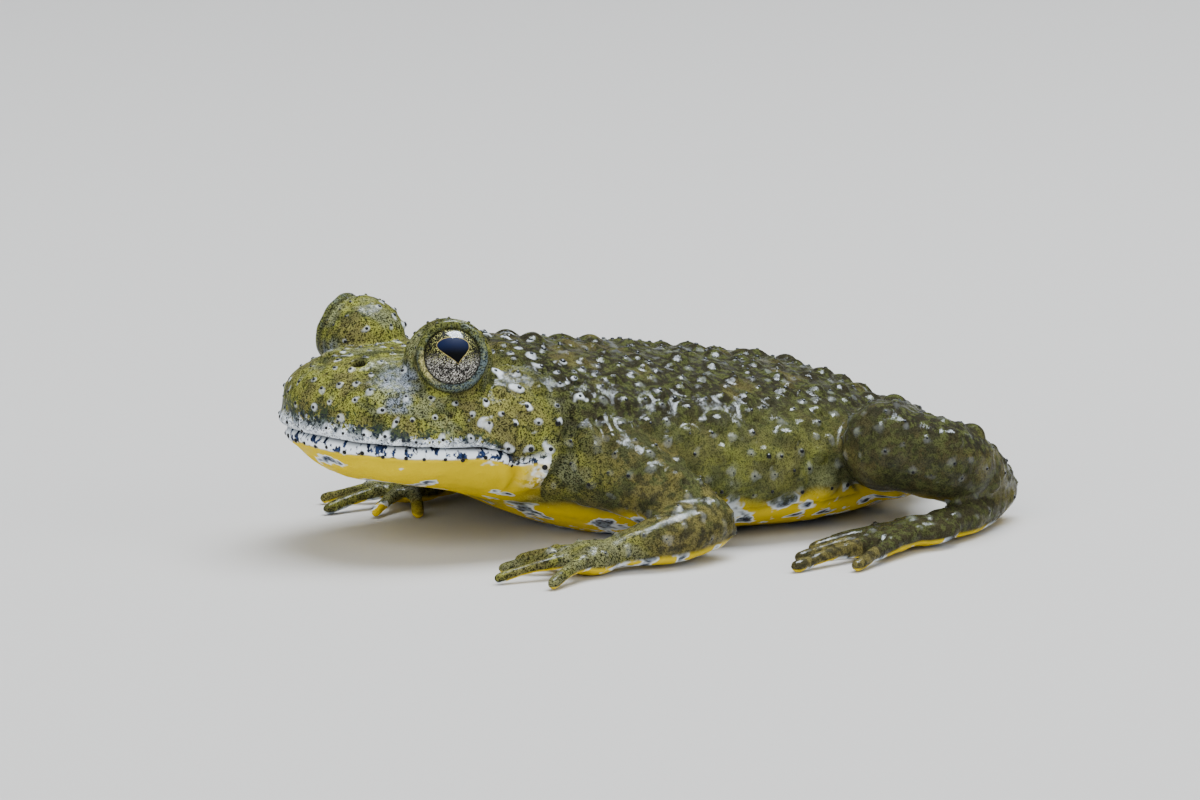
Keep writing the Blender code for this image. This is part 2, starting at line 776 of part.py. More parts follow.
def add_materials(parts):
    materials = {}
    for name, (colour, roughness) in COLOURS.items():
        material = bpy.data.materials.new(name)
        material.use_nodes = True
        shader = material.node_tree.nodes["Principled BSDF"]
        shader.inputs["Base Color"].default_value = (*colour, 1.0)
        shader.inputs["Roughness"].default_value = roughness
        shader.inputs["Metallic"].default_value = 0.0
        materials[name] = material
    for obj in parts.objects:
        kind = "limb"
        if obj.name.startswith("eye"):
            kind = "eye"
        elif obj.name == "lower_jaw":
            kind = "throat"
        elif obj.name in ("head", "torso"):
            kind = "back"
        obj.data.materials.clear()
        obj.data.materials.append(materials[kind])
        obj.data.shade_smooth()
        obj.data.set_sharp_from_angle(angle=math.radians(40))


def centre_on_floor(parts):
    """Moves the origin to the middle of the toad's box, at the floor."""
    corners = [Vector(v.co) for obj in parts.objects for v in obj.data.vertices]
    lows = [min(c[axis] for c in corners) for axis in range(3)]
    highs = [max(c[axis] for c in corners) for axis in range(3)]
    shift = Vector((-(lows[0] + highs[0]) / 2, -(lows[1] + highs[1]) / 2, -lows[2]))
    for obj in parts.objects:
        obj.data.transform(Matrix.Translation(shift))


def main():
    clear_scene()
    parts = bpy.data.collections.new("yellow_bellied_toad")
    tools = bpy.data.collections.new("cutters")
    for collection in (parts, tools):
        bpy.context.scene.collection.children.link(collection)
    tools.hide_render = True
    trunk_room = build_trunk(parts, tools)
    for side in SIDES:
        build_limbs(side, trunk_room, parts, tools)
        build_eye(side, parts)
    centre_on_floor(parts)
    add_materials(parts)


main()
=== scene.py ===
import math
from functools import lru_cache
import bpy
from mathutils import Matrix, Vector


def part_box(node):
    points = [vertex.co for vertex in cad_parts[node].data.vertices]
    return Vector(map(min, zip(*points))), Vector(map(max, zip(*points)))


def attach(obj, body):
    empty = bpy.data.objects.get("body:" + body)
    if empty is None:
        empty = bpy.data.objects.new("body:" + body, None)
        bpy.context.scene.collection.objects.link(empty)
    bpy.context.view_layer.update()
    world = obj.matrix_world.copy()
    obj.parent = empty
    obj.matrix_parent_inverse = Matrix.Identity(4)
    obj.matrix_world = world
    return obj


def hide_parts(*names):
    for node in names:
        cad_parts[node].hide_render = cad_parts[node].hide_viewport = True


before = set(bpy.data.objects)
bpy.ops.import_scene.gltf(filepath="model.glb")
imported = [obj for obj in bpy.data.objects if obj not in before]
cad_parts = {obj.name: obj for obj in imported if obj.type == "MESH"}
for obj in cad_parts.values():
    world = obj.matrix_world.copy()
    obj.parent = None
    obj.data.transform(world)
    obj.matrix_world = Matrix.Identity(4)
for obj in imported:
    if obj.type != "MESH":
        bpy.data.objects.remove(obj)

from types import SimpleNamespace

import bmesh
import bpy
import numpy as np
from mathutils import Matrix, Vector, noise

MM = 0.001
SIDES = {"left": -1.0, "right": 1.0}
SKIN_NODES = ("head", "lower_jaw", "torso")
LIMB_NODES = ("upper_arm", "forearm", "hand", "thigh", "shank", "tarsus", "foot")
LIMB_LOFTS = ("upper_arm", "forearm", "thigh", "shank", "tarsus")

# The forms under the skin, in millimetres (along the body, out from its middle, above the floor)
SNOUT_TIP = 1.1
VENT = 42.0
TRUNK = (
    (SNOUT_TIP, 6.7, 10.9, 7.3, 4.5, 2.2, 2.0),
    (3.5, 6.9, 10.8, 7.1, 4.2, 2.2, 2.1),
    (6.0, 7.1, 10.9, 6.8, 3.8, 2.3, 2.2),
    (9.0, 7.4, 10.9, 6.4, 3.2, 2.3, 2.2),
    (12.0, 7.9, 11.1, 5.9, 2.3, 2.3, 2.2),
    (15.0, 8.6, 10.9, 5.3, 1.0, 2.2, 2.2),
    (18.0, 9.5, 10.4, 4.8, 0.0, 2.1, 2.3),
    (22.0, 10.6, 9.8, 4.3, -0.2, 2.1, 2.5),
    (26.0, 11.2, 9.2, 4.0, -0.25, 2.1, 2.6),
    (30.0, 10.8, 8.6, 3.8, -0.25, 2.1, 2.6),
    (34.0, 9.3, 7.6, 3.6, -0.2, 2.1, 2.4),
    (38.0, 7.2, 5.9, 3.2, 0.2, 2.1, 2.2),
    (VENT, 5.6, 4.8, 2.8, 0.7, 2.1, 2.1),
)
SNOUT_TIP_LEVEL = 8.5
SNOUT_ROUND_IN_PLAN = 7.6
SNOUT_ROUND_IN_PROFILE = 3.8
VENT_LEVEL = 2.8
VENT_ROUND = 6.0
MOUTH_LINE = ((-1.0, 6.85), (1.3, 6.8), (2.5, 6.62), (5.0, 6.5), (8.0, 6.35), (10.2, 6.2))
NECK = ((13.6, 14.0), (14.5, 7.0), (14.8, -1.8))
EYE_PLACE = (7.9, 4.5, 10.8)
EYE_BULGE_RADIUS = 2.4
EYE_RADIUS = 1.65
EYE_OUTWARD = 0.7
EYE_TURNED_FORWARD = 25.0
EYE_TURNED_UP = 18.0
NOSTRIL_PLACE = (4.0, 1.6)
UPPER_ARM = (
    (14.8, 6.0, 5.6, 2.8, 2.8),
    (16.6, 8.8, 4.4, 2.3, 2.3),
    (18.4, 11.0, 3.0, 1.85, 1.85),
    (19.5, 12.0, 2.1, 1.5, 1.5),
)
FOREARM = (
    (19.6, 12.2, 2.0, 1.45, 1.5),
    (17.2, 12.8, 1.7, 1.65, 1.55),
    (15.0, 12.9, 1.35, 1.35, 1.2),
    (13.4, 12.7, 1.1, 1.05, 0.9),
)
THIGH = (
    (37.0, 3.2, 3.2, 2.8, 2.7),
    (34.8, 7.4, 3.8, 2.9, 2.8),
    (32.4, 11.0, 4.7, 2.7, 2.6),
    (30.4, 13.2, 5.3, 2.3, 2.4),
)
SHANK = (
    (30.5, 13.4, 5.2, 2.1, 2.2),
    (33.5, 13.8, 4.4, 2.3, 2.3),
    (36.8, 12.6, 3.1, 1.9, 1.9),
    (39.4, 11.0, 1.9, 1.35, 1.35),
)
TARSUS = (
    (39.4, 11.3, 1.6, 1.25, 1.25),
    (37.0, 13.2, 1.25, 1.1, 1.1),
    (34.2, 15.0, 1.05, 1.0, 0.95),
    (32.6, 15.6, 1.05, 0.95, 0.9),
)
PALM = (11.9, 12.6, 0.95)
PALM_SIZE = (1.9, 1.45, 0.9)
PALM_TURNED_INWARD = 14.0
FINGERS = ((62.0, 3.8, 0.6), (32.0, 4.4, 0.56), (5.0, 5.5, 0.56), (-28.0, 4.4, 0.54))
SOLE = (31.0, 15.9, 0.95)
SOLE_SIZE = (2.4, 1.4, 0.85)
SOLE_TURNED_INWARD = -12.0
TOES = (
    (28.0, 4.2, 0.62),
    (11.0, 5.8, 0.58),
    (-2.0, 7.8, 0.56),
    (-12.0, 9.6, 0.56),
    (-27.0, 7.4, 0.56),
)
DIGIT_ARCH = ((0.0, 1.0, 1.0), (0.35, 0.98, 0.95), (0.7, 0.6, 0.85), (1.0, 0.0, 1.0))
DIGIT_ROOT_FORWARD = 0.3
DIGIT_POINTS = 18
DIGIT_TIP_SHARE = 0.72
DIGIT_TIP_LEVEL = 0.36
WEB_REACH = 0.72
WEB_HOLLOW = 0.3
WEB_THICKNESS = 0.5
WEB_LEVEL = 0.42
WEB_ROWS = 8
WEB_POINTS = 14
CAP_ANGLES = (15, 30, 45, 60, 75)
SLOPE_STEP = 0.05

# How far the right side's elbow, wrist, knee and heel are drawn back, inward and down
STILL = (0.0, 0.0, 0.0)
RIGHT_DRAWN = ((2.2, 1.2, 0.0), (2.8, 2.4, 0.0), (0.6, 0.5, 0.7), (0.2, 0.3, 0.0))

# The warts of the solids
WART_SIZES = {"large": (0.66, 0.36), "medium": (0.52, 0.3), "small": (0.4, 0.24)}
WART_SEED = 7
WART_SPACING = 1.8
BACK_WARTS = (("large", 14), ("medium", 18), ("small", 8))
BACK_WART_SPANS = ((15.0, 38.5), (6.0, 174.0))
HEAD_WARTS = (("medium", 4), ("small", 8))
HEAD_WART_SPANS = ((10.0, 13.6), (4.0, 176.0))
LIMB_WARTS = {
    "upper_arm": ((("medium", 3),), ((0.45, 0.8), (20.0, 130.0))),
    "thigh": ((("large", 2), ("medium", 2)), ((0.35, 0.8), (30.0, 150.0))),
    "shank": ((("large", 2), ("medium", 3)), ((0.25, 0.75), (30.0, 200.0))),
}

# The skin: how closely it is meshed and how much it is smoothed, most of all at its joins
TRUNK_RINGS = 150
TRUNK_RING_POINTS = 140
SKIN_CELL = 0.13
FINE_HEAD_TO = 15.5
FINE_HEAD_ABOVE = 1.9
SMOOTHING = 16
BLENDING = 55
JOIN_REACHES = {"upper_arm": 4.4, "thigh": 4.6}
JOIN_FADE = 2.0
EYE_JOIN_SHARE = 0.7
EYE_JOIN_WIDTH = (0.25, 0.6)
HEAD_FADE = (12.5, 17.0)
LIMB_FADE = (-0.4, 1.2)
HAND_REACH = 7.5
FOOT_REACH = 11.5
FOOT_TOP = 2.1
FEET_OUT = 8.0

# Waves of smooth random values, as (size in millimetres, height, seed)
UNDULATION = ((2.6, 0.1, 1), (0.9, 0.04, 2))
HALO_WAVES = ((0.45, 0.9, 3),)
LID_WAVES = ((0.7, 0.3, 4),)
REGION_WAVES = ((1.6, 0.3, 5), (0.5, 0.15, 6))
FLANK_WAVES = ((3.5, 0.7, 8),)
SPACING_WAVES = ((2.2, 0.3, 9),)

# Eyelids, lips, nostrils and folds, as heights and widths in millimetres
CORNEA_RADIUS = 2.0
CORNEA_SUNK = 0.22
EYE_FRONT = 0.2
LID_OPENING = (1.44, 1.6)
LID_SUNK = 0.25
LID_REACH = 3.2
LID_RING_RADIUS = 1.7
LID_RING_RISE = 0.24
LID_RING_WIDTH = 0.17
CREASE_RADIUS = 2.12
CREASE_DEPTH = 0.1
CREASE_WIDTH = 0.14
LIP_LINE = (*MOUTH_LINE[:4], (8.4, 6.36), (9.4, 6.15), (10.2, 5.75))
LIP_RISE = 0.24
LOWER_LIP_SHARE = 0.8
LIP_WIDTH = 0.36
LIP_FROM_MOUTH_LINE = 0.5
MOUTH_DEPTH = 0.42
MOUTH_WIDTH = 0.11
MOUTH_END = 10.2
NOSTRIL_RADIUS = 0.34
NOSTRIL_EDGE = (0.6 * NOSTRIL_RADIUS, 1.3 * NOSTRIL_RADIUS)
NOSTRIL_DEPTH = 0.55
NOSTRIL_RIM = 0.1
NOSTRIL_RIM_RADIUS = 1.7 * NOSTRIL_RADIUS
NOSTRIL_RIM_WIDTH = 0.16
CANTHUS = ((4.2, 1.9), (6.2, 3.2))
CANTHUS_RISE = 0.16
CANTHUS_WIDTH = 0.35
FOLDS = (
    (((10.0, 5.5), (10.6, 4.7), (11.0, 3.7)), 0.2, 0.2),
    (((10.2, 9.3), (10.6, 8.2), (10.5, 7.2), (10.2, 6.4)), 0.13, 0.16),
    (((13.6, 8.6), (13.4, 6.8), (12.9, 5.0), (12.2, 3.4)), 0.3, 0.3),
    (((15.2, 8.4), (14.9, 6.6), (14.6, 5.2)), 0.18, 0.25),
)

# Where regions of colour fade in: along the body, above the floor or above the mouth's line
BACK_ALONG = (10.5, 16.0)
BACK_ABOVE = (4.5, 8.0)
RUMP_ALONG = (28.0, 40.0)
RUMP_ABOVE = (1.5, 3.0)
THROAT_ALONG = (10.5, 13.5)
THROAT_LINE = (-0.58, -0.42)
LOWER_LIP_LINE = (-0.56, -0.42)
MOUTH_CORNER_ALONG = (9.6, 10.4, 12.0, 12.8)
MOUTH_CORNER_ABOVE = (3.6, 4.1, 5.2, 5.9)
FLANK_LEVEL = 2.4
# Grey-blue patches in front of the eyes, partly the skin's own colour and partly a painted bluish sheen,
# as (spot, radius)
SLATE_SHEEN_PATCHES = (((5.2, 3.8, 9.7), 1.7), ((4.3, 5.2, 9.0), 1.0))

# Finer warts: spacing, two radii, rise per radius, two sizes of tip, ring's reach and strength
FINE_WARTS = {
    "lid": (0.75, 0.1, 0.14, 0.6, 0.06, 0.09, 0.0, 0.0),
    "lower_lip": (0.95, 0.14, 0.18, 0.3, 0.1, 0.14, 0.0, 0.0),
    "upper_lip": (1.1, 0.16, 0.24, 0.3, 0.08, 0.13, 0.26, 0.7),
    "cheek": (1.2, 0.24, 0.42, 0.5, 0.1, 0.17, 0.31, 0.9),
    "snout": (0.95, 0.15, 0.24, 0.35, 0.08, 0.12, 0.18, 0.55),
    "back": (1.6, 0.4, 0.72, 0.45, 0.04, 0.15, 0.0, 0.0),
    "back_between": (0.95, 0.18, 0.34, 0.5, 0.03, 0.13, 0.25, 0.12),
    "limb": (1.1, 0.2, 0.4, 0.45, 0.0, 0.12, 0.25, 0.08),
}
FINE_WART_SEED = 23
HALO_SEED = 2
HALO_SHIFT = 0.3
HALO_STRETCH = (0.76, 1.28)
LID_WARTS_OFF_AXIS = (1.95, 2.4)
LID_WARTS_ABOVE_EYE = 0.9
BARE_ROUND_EYE = 2.45
BARE_ROUND_NOSTRIL = 0.75
WARTS_ABOVE = 1.2
WART_TRIES = 9000
WART_FOOT = 1.15
SMALLEST_TIP = 0.05
TIP_HEIGHT = 0.55
TIP_POINTS = 10
TIP_STEPS = 6


def place(side, spot):
    """The point, in millimetres, of a place."""
    along, out, up = spot
    return Vector((along, SIDES[side] * out, up))


@lru_cache(maxsize=None)
def curve_of(table):
    """A table's stations, its rows and how steeply they change, as arrays."""
    rows = np.array(table)
    return rows[:, 0], rows, np.gradient(rows, rows[:, 0], axis=0)


def between(table, at):
    """The row of a table at a station between its rows, on a smooth curve through them."""
    stations, rows, slopes = curve_of(table)
    i = int(np.clip(np.searchsorted(stations, at) - 1, 0, len(stations) - 2))
    step = stations[i + 1] - stations[i]
    u = min(max((at - stations[i]) / step, 0.0), 1.0)
    return (
        rows[i] * (1 + 2 * u) * (1 - u) ** 2
        + slopes[i] * step * u * (1 - u) ** 2
        + rows[i + 1] * u * u * (3 - 2 * u)
        + slopes[i + 1] * step * u * u * (u - 1)
    )


def round_end(distance, length):
    """How much of its size a form with a rounded end has at a distance from that end."""
    near = 1 - min(max(distance / length, 0.0), 1.0)
    return math.sqrt(1 - near * near)


@lru_cache(maxsize=None)
def trunk_sizes(at):
    """(half width, top, widest level, bottom, squareness above and below) at a place."""
    _, half_width, top, widest, bottom, above, below = between(TRUNK, at)
    half_width *= round_end(at - SNOUT_TIP, SNOUT_ROUND_IN_PLAN) * round_end(VENT - at, VENT_ROUND)
    front = round_end(at - SNOUT_TIP, SNOUT_ROUND_IN_PROFILE)
    rear = round_end(VENT - at, VENT_ROUND)
    levels = []
    for level in (top, widest, bottom):
        level = SNOUT_TIP_LEVEL + (level - SNOUT_TIP_LEVEL) * front
        levels.append(VENT_LEVEL + (level - VENT_LEVEL) * rear)
    return half_width, *levels, above, below


def on_trunk(at, angle):
    """The trunk's point at a place along it and an angle from its right side over the back."""
    half_width, top, widest, bottom, above, below = trunk_sizes(at)
    across, up = math.cos(angle), math.sin(angle)
    power = 2 / (above if up > 0 else below)
    height = top - widest if up > 0 else widest - bottom
    out = half_width * math.copysign(abs(across) ** power, across)
    return Vector((at, out, widest + height * math.copysign(abs(up) ** power, up)))


def trunk_top(at, out):
    """The level of the back or head at a place along the body and out from its middle."""
    half_width, top, widest, _, above, _ = trunk_sizes(at)
    share = min(abs(out) / half_width, 1.0)
    return widest + (top - widest) * (1 - share**above) ** (1 / above)


def turns_of(count, shift=0.0):
    """Evenly spaced angles once round."""
    return [2 * math.pi * (k + shift) / count for k in range(count)]


def add_loft(mesh, rings, first, last):
    """Adds a closed form through rings of equally many points to a mesh."""
    loops = [[mesh.verts.new(point) for point in ring] for ring in rings]
    start, end = mesh.verts.new(first), mesh.verts.new(last)
    count = len(loops[0])
    for k in range(count):
        n = (k + 1) % count
        mesh.faces.new((start, loops[0][n], loops[0][k]))
        mesh.faces.new((end, loops[-1][k], loops[-1][n]))
        for a, b in zip(loops, loops[1:]):
            mesh.faces.new((a[k], a[n], b[n], b[k]))


def path_of(side, rows):
    """Rows of (place, half width, half height) as a table along the length of their path."""
    spots = [place(side, row[:3]) for row in rows]
    lengths = [0.0]
    for a, b in zip(spots, spots[1:]):
        lengths.append(lengths[-1] + (b - a).length)
    return tuple((at, *spot, *row[3:]) for at, spot, row in zip(lengths, spots, rows))


def frame_on(path, at):
    """(middle, direction, sideways half size, upward half size) at a length along a path."""
    total = path[-1][0]
    sizes = between(path, at)
    ahead = between(path, min(at + SLOPE_STEP, total))
    behind = between(path, max(at - SLOPE_STEP, 0.0))
    direction = Vector(ahead[1:4] - behind[1:4]).normalized()
    across = Vector((0, 0, 1)).cross(direction).normalized()
    up = direction.cross(across)
    return Vector(sizes[1:4]), direction, across * sizes[4], up * sizes[5]


def add_limb(mesh, side, rows, points=28, steps=26):
    """Adds a rounded form along a smooth path to a mesh."""
    path = path_of(side, rows)
    total, start_radius, end_radius = path[-1][0], rows[0][3], rows[-1][3]
    caps = [math.cos(math.radians(angle)) for angle in CAP_ANGLES]
    stations = [-start_radius * cap for cap in caps]
    stations += [total * k / steps for k in range(steps + 1)]
    stations += [total + end_radius * cap for cap in caps[::-1]]
    turns = turns_of(points)
    rings = []
    for at in stations:
        inside = min(max(at, 0.0), total)
        middle, direction, across, up = frame_on(path, inside)
        middle += direction * (at - inside)
        past = abs(at - inside) / (start_radius if at < 0 else end_radius)
        share = math.sqrt(max(1 - past * past, 0.0))
        rings.append([middle + (across * math.cos(a) + up * math.sin(a)) * share for a in turns])
    begin, lead, _, _ = frame_on(path, 0.0)
    finish, trail, _, _ = frame_on(path, total)
    add_loft(mesh, rings, begin - lead * start_radius, finish + trail * end_radius)


def add_ball(mesh, middle, sizes, turn=Matrix(), points=44, steps=26):
    """Adds an ellipsoid with half sizes, turned by a matrix, to a mesh."""
    shape = Matrix.Translation(middle) @ turn @ Matrix.Diagonal((*sizes, 1.0))
    turns = turns_of(points)
    rings = []
    for tilt in (math.pi * k / steps for k in range(1, steps)):
        out, up = math.sin(tilt), math.cos(tilt)
        rings.append([shape @ Vector((out * math.cos(a), out * math.sin(a), up)) for a in turns])
    add_loft(mesh, rings, shape @ Vector((0, 0, 1)), shape @ Vector((0, 0, -1)))


def drawn(rows, first_shift, last_shift):
    """Rows of places moved by a shift (back, inward, down) that changes along them."""
    moved = []
    for row, share in zip(rows, np.linspace(0.0, 1.0, len(rows))):
        back, inward, down = np.multiply(first_shift, 1 - share) + np.multiply(last_shift, share)
        moved.append((row[0] + back, row[1] - inward, row[2] - down, *row[3:]))
    return moved


def digit_rows(base, heading, length, radius):
    """The middle line of a finger or toe, arched from its root down to its tip."""
    rows = []
    for share, rise, thick in DIGIT_ARCH:
        level = DIGIT_TIP_LEVEL + (base[2] - DIGIT_TIP_LEVEL) * rise
        size = radius * thick * (1 - (1 - DIGIT_TIP_SHARE) * share)
        reach = length * share
        along, out = base[0] - reach * math.cos(heading), base[1] - reach * math.sin(heading)
        rows.append((along, out, level, size, size))
    return rows


def add_web(mesh, side, first, second):
    """Adds the skin between two toes, hollowed at its free edge."""
    lines = []
    for rows in (first, second):
        lines.append([place(side, (*row[:2], WEB_LEVEL)) for row in (rows[0], rows[-1])])
    half = Vector((0, 0, WEB_THICKNESS / 2))
    rings = []
    for share in (k / WEB_ROWS for k in range(WEB_ROWS + 1)):
        reach = WEB_REACH * (1 - WEB_HOLLOW * 4 * share * (1 - share))
        row = []
        for k in range(WEB_POINTS + 1):
            a, b = [start.lerp(end, reach * k / WEB_POINTS) for start, end in lines]
            row.append(a.lerp(b, share))
        rings.append([spot + half for spot in row] + [spot - half for spot in row[::-1]])
    ends = [sum(ring, Vector()) / len(ring) for ring in (rings[0], rings[-1])]
    add_loft(mesh, rings, *ends)


def add_end(mesh, side, palm, sizes, turned, digits, webbed):
    """Adds a hand or foot with its digits and the web between them."""
    turn = Matrix.Rotation(math.radians(-SIDES[side] * turned), 4, "Z")
    add_ball(mesh, place(side, palm), sizes, turn)
    lines = []
    for k, (inward, length, radius) in enumerate(digits):
        spread = (k - (len(digits) - 1) / 2) / len(digits)
        base = (palm[0] - DIGIT_ROOT_FORWARD, palm[1] + spread * sizes[1], palm[2])
        rows = digit_rows(base, math.radians(inward), length, radius)
        add_limb(mesh, side, rows, DIGIT_POINTS, DIGIT_POINTS)
        lines.append(rows)
    if webbed:
        for first, second in zip(lines, lines[1:]):
            add_web(mesh, side, first, second)


def limb_rows(side):
    """The rows of each piece of one side's arm and leg, by name."""
    elbow, wrist, knee, heel = RIGHT_DRAWN if side == "right" else (STILL,) * 4
    return {
        "upper_arm": drawn(UPPER_ARM, STILL, elbow),
        "forearm": drawn(FOREARM, elbow, wrist),
        "thigh": drawn(THIGH, STILL, knee),
        "shank": drawn(SHANK, knee, heel),
        "tarsus": drawn(TARSUS, heel, heel),
        "palm": drawn([PALM], wrist, wrist),
        "sole": drawn([SOLE], heel, heel),
    }


def data_of(mesh, name):
    """A mesh's faces, turned outward, as the data of an object."""
    bmesh.ops.recalc_face_normals(mesh, faces=mesh.faces)
    data = bpy.data.meshes.new(name)
    mesh.to_mesh(data)
    mesh.free()
    return data


def in_scene(name, data):
    """A new object of the scene with this data."""
    obj = bpy.data.objects.new(name, data)
    bpy.context.scene.collection.objects.link(obj)
    return obj


def body_form():
    """Every fleshy form in one mesh, each closed and reaching into the next."""
    mesh = bmesh.new()
    shares = [(1 - math.cos(math.pi * k / TRUNK_RINGS)) / 2 for k in range(1, TRUNK_RINGS)]
    stations = [SNOUT_TIP + (VENT - SNOUT_TIP) * share for share in shares]
    turns = turns_of(TRUNK_RING_POINTS, 0.5)
    rings = [[on_trunk(at, turn) for turn in turns] for at in stations]
    first = Vector((SNOUT_TIP, 0.0, SNOUT_TIP_LEVEL))
    add_loft(mesh, rings, first, Vector((VENT, 0.0, VENT_LEVEL)))
    for side in SIDES:
        add_ball(mesh, place(side, EYE_PLACE), (EYE_BULGE_RADIUS,) * 3)
        rows = limb_rows(side)
        for name in LIMB_LOFTS:
            add_limb(mesh, side, rows[name])
        add_end(mesh, side, rows["palm"][0], PALM_SIZE, PALM_TURNED_INWARD, FINGERS, False)
        add_end(mesh, side, rows["sole"][0], SOLE_SIZE, SOLE_TURNED_INWARD, TOES, True)
    return data_of(mesh, "skin")


def one_surface(data):
    """The forms as one unbroken skin of even cells, finer on the head."""
    obj = in_scene("skin", data)
    merge = obj.modifiers.new("one skin", "REMESH")
    merge.mode = "VOXEL"
    merge.voxel_size = SKIN_CELL
    graph = bpy.context.evaluated_depsgraph_get()
    obj.data = bpy.data.meshes.new_from_object(obj.evaluated_get(graph))
    obj.modifiers.clear()
    mesh = bmesh.new()
    mesh.from_mesh(obj.data)
    edges = [e for e in mesh.edges if max(v.co.x for v in e.verts) < FINE_HEAD_TO]
    edges = [e for e in edges if min(v.co.z for v in e.verts) > FINE_HEAD_ABOVE]
    bmesh.ops.subdivide_edges(mesh, edges=edges, cuts=1, use_grid_fill=True)
    mesh.to_mesh(obj.data)
    mesh.free()
    return obj


def read(items, key, kind=np.float32, width=3):
    """Values of a mesh's points or edges as an array of rows."""
    values = np.empty(len(items) * width, kind)
    items.foreach_get(key, values)
    return values.reshape(-1, width)


def move(data, points):
    """Moves a mesh's points and returns the normals that it then has there."""
    data.vertices.foreach_set("co", points.astype(np.float32).ravel())
    data.update()
    return read(data.vertex_normals, "vector").astype(float)


def away(points, spot):
    """How far points are from a spot."""
    return np.linalg.norm(points - np.array(spot), axis=1)


def smoothed(points, edges, weight, rounds):
    """Points drawn towards the mean of their neighbours, by one weight or each by its own."""
    a, b = edges[:, 0], edges[:, 1]
    count = np.bincount(a, minlength=len(points)) + np.bincount(b, minlength=len(points))
    count = np.maximum(count, 1)
    for _ in range(rounds):
        mean = np.empty_like(points)
        for axis in range(3):
            total = np.bincount(a, points[b, axis], len(points))
            total += np.bincount(b, points[a, axis], len(points))
            mean[:, axis] = total / count
        points = points + (mean - points) * np.reshape(weight, (-1, 1))
    return points


def step(low, high, values):
    """0 below low, 1 above high and smooth between them."""
    share = np.clip((values - low) / (high - low), 0.0, 1.0)
    return share * share * (3 - 2 * share)


def window(start, full, fade, end, values):
    """1 from full to fade, 0 before start and after end, and smooth between them."""
    return step(start, full, values) * (1 - step(fade, end, values))


def hump(distance, width):
    """1 at no distance, falling away over a width."""
    return np.exp(-((distance / width) ** 2))


def towards(azimuth, elevation):
    """The direction at degrees round from the toad's left to its rear, and above the floor."""
    turn, tilt = math.radians(azimuth), math.radians(elevation)
    return Vector((math.sin(turn) * math.cos(tilt), -math.cos(turn) * math.cos(tilt), math.sin(tilt)))


def eye_axes(side):
    """(middle of the eyeball, gaze, direction to the right when facing the eye, up)."""
    look = towards(-EYE_TURNED_FORWARD, EYE_TURNED_UP)
    look.y *= -SIDES[side]
    right = Vector((0, 0, 1)).cross(look).normalized()
    return place(side, EYE_PLACE) + look * EYE_OUTWARD, look, right, look.cross(right)


def from_eye(side, points):
    """(height along the gaze, distance from its axis, shares forward and up) of points."""
    middle, look, right, up = map(np.array, eye_axes(side))
    offset = points - middle
    along = offset @ look
    off_axis = np.linalg.norm(offset - along[:, None] * look, axis=1)
    forward, upward = offset @ right * SIDES[side], offset @ up
    reach = np.maximum(np.hypot(forward, upward), 0.001)
    return along, off_axis, forward / reach, upward / reach


def to_line(points, line):
    """(distance, share of the length) of the nearest spot of a line to flat points."""
    nearest = np.full(len(points), 1e9)
    share = np.zeros(len(points))
    line = np.array(line, float)
    lengths = np.linalg.norm(np.diff(line, axis=0), axis=1)
    total, gone = lengths.sum(), 0.0
    for a, b, length in zip(line, line[1:], lengths):
        u = np.clip((points - a) @ (b - a) / length**2, 0, 1)
        distance = np.linalg.norm(points - a - u[:, None] * (b - a), axis=1)
        closer = distance < nearest
        nearest[closer] = distance[closer]
        share[closer] = ((gone + u * length) / total)[closer]
        gone += length
    return nearest, share


def mouth_offset(points):
    """How far above the mouth's line points are, and how much they belong to the mouth."""
    level = np.interp(points[:, 0], *zip(*LIP_LINE))
    share = 1 - step(MOUTH_END - 0.6, MOUTH_END + 0.4, points[:, 0])
    return points[:, 2] - level, share * (np.abs(points[:, 1]) < 9.5)


def nostril(side):
    """The middle of a nostril."""
    along, out = NOSTRIL_PLACE
    return place(side, (along, out, trunk_top(along, out)))


def eye_front(off_axis):
    """How far the eye's clear front stands out from the eyeball's middle."""
    return np.sqrt(np.maximum(CORNEA_RADIUS**2 - np.square(off_axis), 0.0)) - CORNEA_SUNK


def lips_rise(points):
    """How far the lips stand out and the line between them lies in."""
    above, mouth = mouth_offset(points)
    rise = LIP_RISE * hump(above - LIP_FROM_MOUTH_LINE, LIP_WIDTH)
    rise += LIP_RISE * LOWER_LIP_SHARE * hump(above + LIP_FROM_MOUTH_LINE, LIP_WIDTH)
    return mouth * (rise - MOUTH_DEPTH * hump(above, MOUTH_WIDTH))


def folds_rise(points, normals):
    """How far the folds of jaw and neck lie in and the ridge from eye to nostril stands out."""
    x, y, _ = points.T
    rise = np.zeros(len(points))
    flank = step(3.0, 5.0, np.abs(y)) * (normals[:, 1] ** 2 > 0.05)
    for line, depth, width in FOLDS:
        distance, share = to_line(points[:, [0, 2]], line)
        depth = depth * flank * np.sin(np.pi * np.clip(share, 0.02, 0.98)) ** 0.5
        rise += depth * (0.5 * hump(distance - 2 * width, width) - hump(distance, width))
    upper = step(0.1, 0.5, normals[:, 2]) * (x < 9.0)
    distance, share = to_line(np.column_stack([x, np.abs(y)]), CANTHUS)
    return rise + upper * CANTHUS_RISE * hump(distance, CANTHUS_WIDTH) * np.sin(np.pi * share) ** 0.5


def nostril_rise(points, side):
    """How far a nostril lies in and its rim stands out."""
    offset = away(points, nostril(side))
    rise = NOSTRIL_RIM * hump(offset - NOSTRIL_RIM_RADIUS, NOSTRIL_RIM_WIDTH)
    return rise - NOSTRIL_DEPTH * (1 - step(*NOSTRIL_EDGE, offset))


